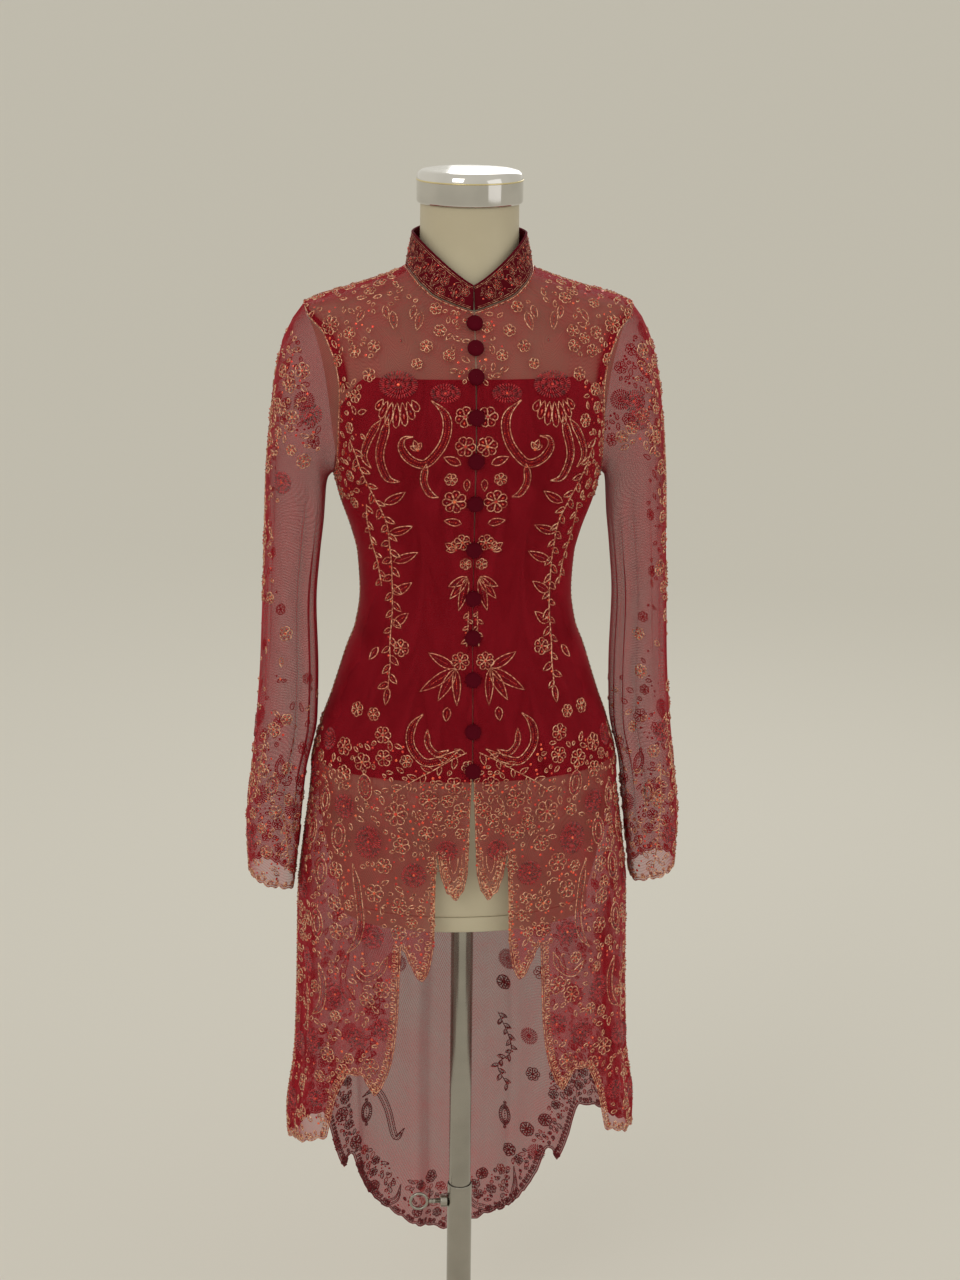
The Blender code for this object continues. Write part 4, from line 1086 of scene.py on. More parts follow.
    def fill(self, wanted, density, scale=1.0, top_row=None):
        """Small motifs sewn in what room is left, the largest kinds first."""
        grid = self.cloth.grid
        rows, columns = grid.shape[:2]
        rows = top_row or rows
        for kind, share, least in (("flower", 0.10, 7.6), ("leaf", 0.22, 4.6), ("loop", 0.30, 3.0),
                                   ("bead", 0.38, 1.7)):
            for _ in range(round(wanted * share * 3.2)):
                r = self.random.randint(3, rows - 3)
                c = self.random.randint(2, columns - 3)
                point = grid[r, c]
                above = np.linalg.norm(point - grid[0, c])
                if self.random.random() > density(point, above):
                    continue
                if self.room(point) < least * scale:
                    continue
                right, up = grid[r, c + 1] - grid[r, c - 1], grid[r + 1, c] - grid[r - 1, c]
                if min(np.linalg.norm(right), np.linalg.norm(up)) < MM:
                    continue
                frame = Frame(point, right, up)
                turn = self.random.uniform(0, 360)
                if kind == "flower":
                    self.flower(frame, self.random.uniform(5.6, 7.2) * scale, 6, turn)
                elif kind == "leaf":
                    size = self.random.uniform(7.5, 11.0) * scale
                    self.leaf(frame.at(0, 0, turn).at(0, -size / 2), 0, size, size * 0.46)
                elif kind == "loop":
                    size = self.random.uniform(4.6, 6.2) * scale
                    self.petal(frame.at(0, 0, turn), 0, size, size * 0.7, -size / 2)
                    self.take(point, size * 0.45)
                else:
                    self.sequin(point, self.random.uniform(1.1, 1.7))
                    self.take(point, 1.6)

    # joined meshes
    def sewn(self, points, lift):
        """Laid points and normals, with what falls off the cloth's edge marked False."""
        laid, normals = self.cloth.lay(points)
        drift = points - laid
        level = drift - normals * np.sum(drift * normals, axis=1, keepdims=True)
        keep = np.linalg.norm(level, axis=1) < 1.0 * MM
        side = self.side
        return laid + normals * (side * np.asarray(lift) * MM)[..., None], normals * side, keep

    def make_cords(self):
        lengths = [len(points) for points, _ in self.cords]
        radii = np.repeat([radius for _, radius in self.cords], lengths)
        laid, normals, keep = self.sewn(np.vstack([points for points, _ in self.cords]), radii * 0.55 + 0.1)
        points, faces = [], []
        first, total = 0, 0
        for length in lengths:
            last = first + length
            good = keep[first:last]
            start = first
            for stop in [first + i for i in range(length) if not good[i]] + [last]:
                if stop - start >= 3:
                    line = laid[start:stop]
                    along = directions(line)
                    if np.linalg.norm(line[0] - line[-1]) < 1e-5:
                        along[0] = along[-1] = (along[0] + along[-1]) / 2
                    normal = normals[start:stop]
                    across = np.cross(normal, along)
                    r = radii[start] * MM
                    ring = np.stack([line - normal * r * 0.8 + across * r, line + normal * r,
                                     line - normal * r * 0.8 - across * r], 1)
                    points.append(ring.reshape(-1, 3))
                    faces.append(grid_faces(stop - start, 3) + total)
                    total += 3 * (stop - start)
                start = stop + 1
            first = last
        return np.vstack(points), np.vstack(faces)

    def make_spindles(self, items, prism):
        first = np.array([item[0] for item in items])
        last = np.array([item[1] for item in items])
        radius = np.array([item[2] for item in items])
        middle, normals, keep = self.sewn((first + last) / 2, radius * 0.8)
        along = last - first
        length = np.linalg.norm(along, axis=1, keepdims=True)
        guess = np.cross(normals, (0.31, 0.47, 0.83))
        along = np.where(length > 1e-6, along, guess)
        along -= normals * np.sum(along * normals, axis=1, keepdims=True)
        along /= np.linalg.norm(along, axis=1, keepdims=True)
        across = np.cross(normals, along)
        r = radius[:, None] * MM
        half = np.maximum(length / 2, r)
        middle, along, across, normals, r, half = (a[keep] for a in (middle, along, across, normals, r, half))
        if prism:
            ends = [middle - along * half, middle + along * half]
            ring = [across * r - normals * r * 0.6, normals * r, -across * r - normals * r * 0.6]
            corners = [ends[0] + out for out in ring] + [ends[1] + out for out in ring]
            pattern = [(0, 3, 4), (0, 4, 1), (1, 4, 5), (1, 5, 2), (0, 1, 2), (5, 4, 3)]
        else:
            corners = [middle - along * half, middle + along * half, middle + across * r,
                       middle + normals * r, middle - across * r, middle - normals * r]
            pattern = [(0, 3, 2), (0, 4, 3), (0, 5, 4), (0, 2, 5), (1, 2, 3), (1, 3, 4), (1, 4, 5), (1, 5, 2)]
        count = len(corners)
        points = np.stack(corners, 1).reshape(-1, 3)
        faces = (np.array(pattern)[None] + (np.arange(len(middle)) * count)[:, None, None])
        return points, faces.reshape(-1, len(pattern[0]))

    def make_sequins(self):
        place = np.array([point for point, _ in self.sequins])
        radius = np.array([radius for _, radius in self.sequins])
        middle, normals, keep = self.sewn(place, 0.5 + 0 * radius)
        middle, normals, radius = middle[keep], normals[keep], radius[keep][:, None] * MM
        across = np.cross(normals, (0.31, 0.47, 0.83))
        across /= np.linalg.norm(across, axis=1, keepdims=True)
        other = np.cross(normals, across)
        tilt = 0.10 * np.sin(np.arange(len(middle)) * 2.4)[:, None]
        corners = [middle + normals * radius * 0.42]
        for k in range(6):
            c, s = cos(pi * k / 3), sin(pi * k / 3)
            corners.append(middle + (across * c + other * s + normals * tilt * c) * radius)
        points = np.stack(corners, 1).reshape(-1, 3)
        pattern = np.array([(0, 1 + k, 1 + (k + 1) % 6) for k in range(6)])
        faces = pattern[None] + (np.arange(len(middle)) * 7)[:, None, None]
        return points, faces.reshape(-1, 3)

    def finish(self):
        """The joined meshes of this cloth's needlework, and their names."""
        made = []
        cord, glass = ("reverse", "reverse") if self.reverse else ("cord", "bead")
        if self.cords:
            made.append(mesh_object(self.name + "_cords", *self.make_cords(), MATERIALS[cord]))
        if self.beads:
            made.append(mesh_object(self.name + "_beads", *self.make_spindles(self.beads, False),
                                    MATERIALS[glass]))
        if self.bugles:
            made.append(mesh_object(self.name + "_bugles", *self.make_spindles(self.bugles, True),
                                    MATERIALS["reverse" if self.reverse else "bugle"]))
        if self.sequins and not self.reverse:
            made.append(mesh_object(self.name + "_sequins", *self.make_sequins(), MATERIALS["sequin"]))
        for piece in made:
            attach(piece, "form")
        return made


# ---------------------------------------------------------------- the design
def front_design(work, side):
    """One front's figures; side is -1 on the wearer's right and 1 on the left."""
    mirrored = side > 0

    def at(turn, height):
        return body_frame(turn, height, mirrored)

    def line(*places):
        turns, heights = np.array(places, float).T
        return net_surface(-turns if mirrored else turns, heights)

    pick = work.random.uniform
    # yoke
    for turn, height, wide, high in ((-27, 1.298, 21.5, 15), (-9.3, 1.291, 16.5, 10.5)):
        work.rosette(at(turn, height), wide, high)
    for k in range(7):
        frame = at(-27, 1.298).at(-15 + 5 * k, -15 - 3 * sin(pi * k / 6))
        work.petal(frame, 180 + (k - 3) * 11, 13 + 13 * sin(pi * k / 6), 7.5)
        work.take(frame.point((k - 3) * 0.8, -11), 5)
    for turn in (-28.5, -17.5):
        work.leaf(at(turn, 1.366), 180 + (12 if turn < -20 else -12), 21, 8)
    work.long_bead(at(-24.5, 1.338).point(0, -2), at(-24.5, 1.338).point(0, 2), 1.3)
    work.flower(at(-57.5, 1.352), 10, 8, 10)
    for turn, height in ((-47.5, 1.344), (-46.0, 1.328), (-58, 1.318), (-66, 1.335)):
        work.flower(at(turn, height), 6.5, 6, pick(0, 60))
    for turn, height, lean in ((-40.5, 1.366, 160), (-34, 1.37, 200), (-22.5, 1.372, 170)):
        work.leaf(at(turn, height), lean, 15, 6.5)
    for turn, height, radius in ((-10.5, 1.348, 6.5), (-15, 1.334, 6.5), (-7.5, 1.326, 6), (-19, 1.318, 5.5),
                                 (-36, 1.333, 6.5), (-40, 1.306, 7)):
        work.flower(at(turn, height), radius, 6, pick(0, 60))
    # scrolls over the bust
    work.band(line((-14.5, 1.284), (-10.5, 1.274), (-9, 1.264), (-9.5, 1.25), (-12, 1.236), (-17.5, 1.222),
                   (-23, 1.226), (-26, 1.238), (-25, 1.247), (-21.5, 1.249)), 8.6)
    work.band(line((-17, 1.222), (-18.5, 1.204), (-16.5, 1.190), (-13, 1.186)), 6.5)
    work.band(line((-31, 1.268), (-32.5, 1.252), (-35.5, 1.228), (-34, 1.206), (-28.5, 1.202)), 8.8)
    work.band(line((-34, 1.264), (-39.5, 1.246), (-44, 1.226), (-41, 1.214)), 7.6)
    work.spray(at(-20, 1.236), 20, 3, 11, 5.5, 90)
    # the centre figure
    for turn, height, radius in ((-3, 1.268, 10.5), (-3, 1.239, 10.5), (-6.8, 1.181, 12.5), (-8, 1.205, 6.5)):
        work.flower(at(turn, height), radius, 6 if radius < 12 else 7, pick(0, 50))
    work.leaf(at(-4.5, 1.221), 66, 19, 8.5)
    work.leaf(at(-4.5, 1.157), 80, 18, 8)
    work.leaf(at(-2.4, 1.205), 178, 13, 6.5)
    work.flower(at(-4.5, 1.136), 8.5, 6, 12)
    work.spray(at(-7.5, 1.128), 58, 3, 13, 6.5, 80)
    work.flower(at(-3.2, 1.112), 6, 6, 0)
    for k, (lean, length) in enumerate(((172, 38), (150, 30), (128, 22))):
        work.leaf(at(-2.6, 1.098), lean, length, 8.5, 3)
    work.flower(at(-5.0, 1.006), 9.5, 7, 0)
    work.vine(line((-1.8, 1.060), (-1.9, 1.040), (-2.4, 1.022)), 7, 6.5)
    root = at(-7.0, 0.999)
    for tip_turn, tip_height, width in ((-21, 1.012, 9.5), (-22, 0.972, 10.5), (-13, 0.964, 10),
                                        (-5, 0.960, 8.5)):
        tip = at(tip_turn, tip_height).origin
        x, y = np.dot(tip - root.origin, root.right) / MM, np.dot(tip - root.origin, root.up) / MM
        work.leaf(root, -degrees(atan2(x, y)), (x * x + y * y) ** 0.5, width, 2)
    work.leaf(at(-9.5, 0.958), 175, 15, 8)
    # the long vine on the bust seam
    work.vine(line((-53, 1.240), (-49.5, 1.224), (-48, 1.208), (-44, 1.182), (-41, 1.156), (-43.5, 1.128),
                   (-45, 1.092), (-45.5, 1.056), (-44.5, 1.020), (-41, 1.000), (-39, 0.972)), 13, 8.5)
    work.leaf(at(-39, 0.974), 176, 19, 7)
    for turn, height, lean, length in ((-39, 1.176, -66, 30), (-42, 1.142, -76, 31), (-43, 1.110, -72, 32),
                                       (-45, 1.074, -64, 27), (-44, 1.040, -58, 22)):
        work.leaf(at(turn, height), lean, length, 9, -3)
    work.vine(line((-51, 1.172), (-55.5, 1.150), (-57.5, 1.128), (-56, 1.105), (-54, 1.080)),
              11, 8.5, -1)
    work.flower(at(-36.5, 1.016), 9, 6, 8)
    work.leaf(at(-52, 1.012), 150, 17, 8)
    # the hip
    work.band(line((-4, 0.914), (-10, 0.903), (-16.5, 0.899), (-22, 0.912), (-24, 0.926), (-23, 0.940),
                   (-19.5, 0.950)), 8.0)
    work.band(line((-8, 0.913), (-12, 0.908), (-16, 0.918), (-17.0, 0.934)), 5.5)
    work.vine(line((-1.8, 0.910), (-7, 0.902), (-13.5, 0.890), (-21.5, 0.876), (-29, 0.860)), 12, 8.5)
    for turn, height, radius, count in ((-56.5, 0.904, 10, 6), (-44, 0.892, 10, 6), (-36.5, 0.924, 9, 6),
                                        (-34, 0.900, 9, 6), (-53, 0.876, 9, 6), (-14, 0.858, 11, 7),
                                        (-5.5, 0.874, 9.5, 6), (-3.2, 0.846, 8.5, 6), (-26.5, 0.840, 13, 7),
                                        (-14.5, 0.820, 8.5, 6), (-6, 0.834, 7.5, 6), (-23.5, 0.806, 9, 6),
                                        (-52.5, 0.768, 9, 6), (-52, 0.730, 9, 6), (-50.5, 0.698, 9.5, 6),
                                        (-33.5, 0.750, 10.5, 6), (-24, 0.708, 8.5, 6), (-24, 0.738, 9, 6),
                                        (-44, 0.944, 7, 6), (-55, 0.945, 8, 6), (-12, 0.782, 7.5, 6)):
        work.flower(at(turn, height), radius, count, pick(0, 50))
    for turn, height, wide, high in ((-41, 0.866, 8, 14), (-53, 0.806, 9, 15), (-62, 0.760, 9, 16),
                                     (-62, 0.700, 9, 16), (-65, 0.840, 8, 14), (-74, 0.800, 9, 15)):
        work.oval(at(turn, height), wide, high, pick(-10, 10))
    for turn, height, wide, high in ((-51.5, 0.840, 14, 14), (-37.5, 0.806, 16.5, 19),
                                     (-18.5, 0.774, 14.5, 14.5), (-7.5, 0.802, 12.5, 12.5),
                                     (-34, 0.700, 14, 15), (-50.5, 0.624, 15, 15),
                                     (-40, 0.578, 14, 14), (-29.5, 0.594, 14, 14), (-70, 0.650, 15, 15),
                                     (-79, 0.730, 14, 14), (-63, 0.560, 15, 15), (-79, 0.540, 15, 15),
                                     (-70, 0.905, 13, 13), (-83, 0.860, 13, 13), (-82, 0.470, 13, 13),
                                     (-58, 0.494, 12, 12)):
        work.rosette(at(turn, height), wide, high)
    work.band(line((-44, 0.780), (-41.5, 0.760), (-40.0, 0.738), (-39.0, 0.712), (-41, 0.690),
                   (-45, 0.676)), 7.5)
    work.band(line((-60, 0.655), (-57, 0.632), (-58, 0.606), (-63, 0.592)), 7.5)
    work.band(line((-72, 0.620), (-69, 0.596), (-71, 0.570), (-77, 0.565)), 7.5)
    work.band(line((-28, 0.680), (-31, 0.660), (-37, 0.650), (-42, 0.662)), 7.0)
    for turn, height in ((-30, 0.640), (-36, 0.626), (-46, 0.535), (-34, 0.548), (-54, 0.550), (-72, 0.500),
                         (-66, 0.470), (-30, 0.782), (-70, 0.700), (-84, 0.620)):
        work.flower(at(turn, height), pick(8.5, 10.5), 6, pick(0, 50))
    # the centre tab, drawn as lines inside lines
    turn = -5.2
    for k in range(3):
        tip, top = 0.7585 + 0.009 * k, 0.800 - 0.002 * k
        half = 3.6 - 1.15 * k
        middle = (top + tip) / 2
        outline = line((turn - half, top), (turn - half * 0.9, middle), (turn, tip),
                       (turn + half * 0.9, middle), (turn + half, top))
        work.cord(smooth_line(outline, BAND_STEP * MM))
    work.take(at(turn, 0.778).origin, 14)


def front_density(point, _):
    """How full a front's ground is: bare over the lining, close at the hem and side."""
    x, z = abs(point[0]), point[2]
    if z > 1.300:
        return 1.0 if x < 0.030 or (x > 0.100 and z > 1.325) or z > 1.372 else 0.0
    if z > 0.915:
        return 1.0 if z > 1.165 and x > 0.112 else 0.0
    return 0.8 if x < 0.08 else 1.0


def back_density(point, above):
    """The same for the back: the middle of the tail is bare but for its hem."""
    x, z = abs(point[0]), point[2]
    if z > 0.915:
        return 1.0 if z > 1.36 or (z > 1.15 and x > 0.10) else 0.12
    if z > 0.640 or above < 0.062:
        return 0.9
    return 1.0 if x > 0.120 else 0.0


def sleeve_density(point, _):
    """Close at the head and the cuff, a strip down the outside, and bare between."""
    share = (1.36 - point[2]) / 0.62
    outside = abs(point[0]) > 0.175 + 0.040 * share
    if share < 0.22:
        return 0.9 if outside else 0.5
    if share < 0.50:
        return 0.8 if abs(point[0]) > 0.190 + 0.036 * share else 0.0
    if share < 0.66:
        return 0.08 if outside else 0.0
    return min(1.0, (share - 0.60) * 3.4) if outside or share > 0.82 else 0.15


def edges_of_front(work):
    """Trimmed hem and parting, and beads beside the side seam, the armhole and the shoulder."""
    grid = work.cloth.grid
    trim_hem(work)
    work.border(grid[2:FRONT_LOWER, 0], grid[2:FRONT_LOWER, 8], 1.0, 0, 4.8, doubled=False)
    work.border(grid[2:-1, -1], grid[2:-1, -3], 1.2, 0, 4.8, doubled=False)
    work.border(grid[-1], grid[-2], 1.4, 0, 4.8, doubled=False)


def back_design(work):
    """The back: a climbing centre figure, vines on both seams, and the figured tail."""
    pick = work.random.uniform
    for side in (-1, 1):
        def at(away, height, side=side):
            return body_frame(180 + side * away, height)

        def line(*places, side=side):
            away, heights = np.array(places, float).T
            return net_surface(180 + side * away, heights)

        for away, height, wide, high in ((17, 1.318, 17, 14), (40, 1.300, 15, 13), (24, 0.872, 15, 16),
                                         (47, 0.850, 14, 15), (10, 0.800, 15, 15), (34, 0.778, 15, 15),
                                         (58, 0.790, 14, 15), (20, 0.690, 15, 15), (47, 0.700, 15, 15),
                                         (70, 0.720, 14, 14), (33, 0.610, 15, 15), (62, 0.620, 15, 15),
                                         (80, 0.600, 15, 15), (20, 0.560, 14, 14), (48, 0.530, 15, 15),
                                         (72, 0.500, 14, 14), (56, 0.450, 14, 14), (80, 0.860, 13, 13)):
            work.rosette(at(away, height), wide, high)
        for away, height, radius in ((8, 1.372, 8), (26, 1.362, 8), (44, 1.340, 8), (60, 1.335, 7),
                                     (8, 1.285, 9), (30, 1.268, 9), (52, 1.270, 8), (9, 1.225, 9.5),
                                     (9, 1.150, 10), (7, 1.085, 9), (9, 1.010, 10), (28, 1.120, 8.5),
                                     (26, 1.030, 8.5), (30, 0.955, 10), (48, 0.930, 10), (62, 0.900, 9.5),
                                     (12, 0.905, 9), (70, 0.820, 9.5), (24, 0.740, 9.5), (60, 0.740, 9),
                                     (9, 0.730, 9), (46, 0.640, 9), (34, 0.550, 9), (58, 0.570, 9),
                                     (86, 0.700, 9), (66, 0.560, 9), (60, 0.500, 9), (84, 0.450, 9)):
            work.flower(at(away, height), radius, 6, pick(0, 50))
        work.vine(line((50, 1.240), (47, 1.200), (43, 1.150), (42, 1.100), (42, 1.050), (40, 1.000),
                       (37, 0.960)), 14, 8.5)
        work.band(line((3, 1.262), (8, 1.250), (14, 1.238), (21, 1.240), (25, 1.252), (21, 1.262)), 8.4)
        work.band(line((3, 1.190), (9, 1.182), (16, 1.186), (20, 1.200), (17, 1.212)), 8.0)
        work.band(line((3, 0.960), (9, 0.950), (17, 0.946), (23, 0.962), (21, 0.982), (16, 0.990)), 8.4)
        for away, height, lean in ((40, 1.176, 70), (42, 1.130, 76), (42, 1.085, 72), (41, 1.040, 62)):
            work.leaf(at(away, height), side * lean, 28, 9)
        for away, height in ((6, 1.118), (6, 1.052)):
            work.spray(at(away, height), side * -90, 3, 15, 7, 100)
        for away, height in ((14, 0.848), (36, 0.836), (52, 0.760), (72, 0.660), (36, 0.690), (22, 0.630)):
            work.oval(at(away, height), 8, 13.5, pick(-12, 12))
        work.band(line((40, 0.585), (43, 0.560), (41, 0.535), (36, 0.520)), 7.5)
        work.band(line((72, 0.470), (66, 0.462), (62, 0.445), (64, 0.425)), 7.0)


def tail_design(work):
    """The tail's figures, which show on both of its faces."""
    pick = work.random.uniform

    at = body_frame

    def line(*places):
        return net_surface(*np.array(places, float).T)

    work.band(line((211, 0.384), (205, 0.388), (201.5, 0.362), (199.5, 0.324), (196.5, 0.338)), 8)
    for turn, height, wide, high in ((209.5, 0.362, 8, 13.5), (160.5, 0.348, 8, 13.5)):
        work.oval(at(turn, height), wide, high)
    for turn, height, radius in ((221.5, 0.372, 9.5), (215.5, 0.328, 9), (214.5, 0.292, 9), (208, 0.256, 9),
                                 (151, 0.336, 9.5), (161.5, 0.528, 9.5), (158, 0.302, 9), (186, 0.262, 9),
                                 (180, 0.228, 8.5), (212, 0.440, 9.5), (150, 0.412, 9), (144, 0.352, 8.5),
                                 (224, 0.424, 9), (192, 0.222, 8.5), (168, 0.262, 8), (208, 0.500, 9)):
        work.flower(at(turn, height), radius, 6, pick(0, 50))
    work.band(line((219, 0.310), (219, 0.280), (215, 0.254), (207, 0.230), (200, 0.236), (198, 0.258)), 7.5)
    work.band(line((174.5, 0.270), (174.5, 0.244), (171.5, 0.222), (164, 0.212), (157, 0.226), (154.5, 0.252),
                   (155.5, 0.280)), 7.5)
    if not work.reverse:
        for turn, height in ((226.5, 0.334), (146.5, 0.306), (152, 0.462), (218, 0.480)):
            work.rosette(at(turn, height), 12, 12)
    work.vine(line((206, 0.542), (204.5, 0.496), (207, 0.462), (206.5, 0.430)), 10, 8)
    work.vine(line((164, 0.486), (159, 0.440), (164, 0.414), (160, 0.388)), 10, 8)


def sleeve_design(work, side):
    """A sleeve's figures; side is -1 on the wearer's right and 1 on the left."""
    pick = work.random.uniform

    def at(turn, share):
        return sleeve_frame(side, turn, share)

    def line(*places):
        turns, shares = np.array(places, float).T
        return sleeve_surface(turns, shares) * (side, 1, 1)

    if side < 0:
        rosettes = ((92, 0.048), (2, 0.744), (28, 0.924), (60, 0.345))
        flowers = ((0, 0.136), (32, 0.132), (54, 0.120), (34, 0.212), (62, 0.02), (98, 0.228), (80, 0.576),
                   (64, 0.732), (90, 0.868), (76, 0.936), (14, 0.300), (10, 0.452),
                   (20, 0.830), (52, 0.806), (104, 0.800), (68, 0.170))
        ovals = ((4, 0.848), (76, 0.828))
        vines = (((6, 0.316), (0, 0.372), (4, 0.412), (8, 0.440), (4, 0.480)),
                 ((20, 0.180), (14, 0.250), (16, 0.310)),
                 ((48, 0.740), (44, 0.790), (40, 0.850)),
                 ((112, 0.870), (122, 0.920), (134, 0.970)))
    else:
        rosettes = ((56, 0.748), (58, 0.920), (84, 0.040), (84, 0.130))
        flowers = ((46, 0.02), (30, 0.116), (12, 0.200), (78, 0.14), (98, 0.100), (52, 0.264), (44, 0.336),
                   (30, 0.380), (54, 0.490), (36, 0.452), (104, 0.584), (98, 0.640), (84, 0.860), (20, 0.680),
                   (20, 0.860), (34, 0.960), (80, 0.780))
        ovals = ((104, 0.850), (26, 0.800))
        vines = (((70, 0.180), (62, 0.230), (58, 0.300)),
                 ((12, 0.260), (6, 0.320), (12, 0.380), (10, 0.440)),
                 ((40, 0.720), (38, 0.770), (30, 0.840)),
                 ((70, 0.800), (76, 0.860), (88, 0.930), (100, 0.985)))
    for turn, share in rosettes:
        work.rosette(at(turn, share), 12.5, 13)
    for turn, share in ovals:
        work.oval(at(turn, share), 7, 12, pick(-15, 15))
    for turn, share in flowers:
        work.flower(at(turn, share), pick(6.8, 8.6), 6, pick(0, 50))
    for places in vines:
        work.vine(line(*places), 10.5, 8)
    for turn, share in ((340, 0.06), (300, 0.88), (170, 0.92), (270, 0.10), (330, 0.74), (225, 0.90)):
        work.rosette(at(turn, share), 12, 12.5)
    for turn, share in ((345, 0.86), (262, 0.84), (318, 0.14)):
        work.oval(at(turn, share), 7, 12, pick(-15, 15))
    for turn, share in ((350, 0.26), (345, 0.36), (320, 0.94), (220, 0.80), (240, 0.14), (310, 0.78),
                        (352, 0.46), (300, 0.20), (280, 0.76)):
        work.flower(at(turn, share), pick(7, 8.6), 6, pick(0, 50))


def collar_design(work):
    """Upright petals round the stand, flowers between them, and double lines at both edges."""
    def line(share):
        return collar_lines(np.linspace(1.2, 358.8, 150), share)

    for share in (0.045, 0.115, 0.93, 0.985):
        work.cord(line(share), 0.62)
    count = 20
    for k in range(count):
        turn = 360 * (k + 0.5) / count
        foot, top = collar_lines(turn, 0.14), collar_lines(turn, 0.9)
        right = collar_lines(turn + 1, 0.2) - collar_lines(turn - 1, 0.2)
        frame = Frame(foot, right, top - foot)
        tall = np.linalg.norm(top - foot) / MM
        work.petal(frame, 0, tall, 11, 0, False)
        work.petal(frame, 0, tall * 0.62, 6, 1.5)
        work.flower(frame.at(0, tall * 0.5, 0).at(8.4, tall * 0.12), 4.6, 6, 15 * k)
        work.petal(frame.at(8.4, tall * 0.30), 180, tall * 0.26, 4.6)
        work.petal(frame.at(8.4, tall * 0.80), 0, tall * 0.18, 4.2)


def tail_density(point, above):
    return back_density(point, above) if point[2] < 0.62 else 0.0


def even_density(*_):
    return 1.0


TAIL_TOP_ROW = 34              # of the back's grid, counted up from the hem


def trim_hem(work):
    work.border(work.cloth.grid[0], work.cloth.grid[1], 1.0, 5.6, 6.8)


def embroider(cloths):
    """All the needlework, by the name of the cloth it is sewn to."""
    sewn = {}
    for seed, (name, side) in enumerate((("front_right", -1), ("front_left", 1)), start=3):
        work = Needlework(name, cloths[name], seed)
        front_design(work, side)
        edges_of_front(work)
        work.fill(1500, front_density)
        sewn[name] = work.finish()
    back = cloths["back"]
    work = Needlework("back", back, 11)
    back_design(work)
    tail_design(work)
    trim_hem(work)
    for edge, beside in ((0, 2), (-1, -3)):
        work.border(back.grid[2:-1, edge], back.grid[2:-1, beside], 1.2, 0, 4.8, doubled=False)
    work.fill(1500, back_density)
    work.fill(900, tail_density, 1.0, TAIL_TOP_ROW)
    sewn["back"] = work.finish()
    under = Needlework("back_reverse", back, 12, reverse=True)
    tail_design(under)
    trim_hem(under)
    under.fill(900, tail_density, 1.0, TAIL_TOP_ROW)
    sewn["back"] += under.finish()
    for seed, (side, sign) in enumerate((("left", 1), ("right", -1)), start=21):
        cloth = cloths["sleeve_" + side]
        work = Needlework("sleeve_" + side, cloth, seed)
        sleeve_design(work, sign)
        cuff, beside = (np.vstack([row, row[:1]]) for row in (cloth.grid[-1], cloth.grid[-2]))
        work.border(cuff, beside, 1.0, 4.6, 5.8)
        work.fill(900, sleeve_density)
        sewn["sleeve_" + side] = work.finish()
    work = Needlework("collar", cloths["collar"], 31)
    collar_design(work)
    work.fill(160, even_density, 0.8)
    sewn["collar"] = work.finish()
    return sewn


# ---------------------------------------------------------------- hard pieces
def lathe(name, profile, material, place=None, sides=96, body="form"):
    """A piece turned about its own Z through (radius, height) points."""
    profile = np.array(profile, float)
    grid = turned(profile[:, :1], profile[:, 1:], circle(sides))
    piece = ringed_object(name, grid, material, place, 36)
    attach(piece, body)


def rounded(corners, radius=0.0008, steps=4):
    """A profile whose inner corners are rounded off."""
    corners = [np.array(corner, float) for corner in corners]
    path = [corners[0]]
    for before, corner, after in zip(corners, corners[1:], corners[2:]):
        start, end = before - corner, after - corner
        cut = min(radius, np.linalg.norm(start) / 2.01, np.linalg.norm(end) / 2.01)
        a, b = corner + start / np.linalg.norm(start) * cut, corner + end / np.linalg.norm(end) * cut
        for k in range(steps + 1):
            t = k / steps
            path.append(a * (1 - t) ** 2 + corner * 2 * t * (1 - t) + b * t * t)
    return path + [corners[-1]]


def clamp_place(distance):
    """The place of a clamp piece whose foot is so far from the tube's axis, its Z pointing out."""
    turn = Matrix.Rotation(radians(-90), 4, 'Y')
    return Matrix.Translation((-distance, 0, CLAMP_HEIGHT)) @ turn


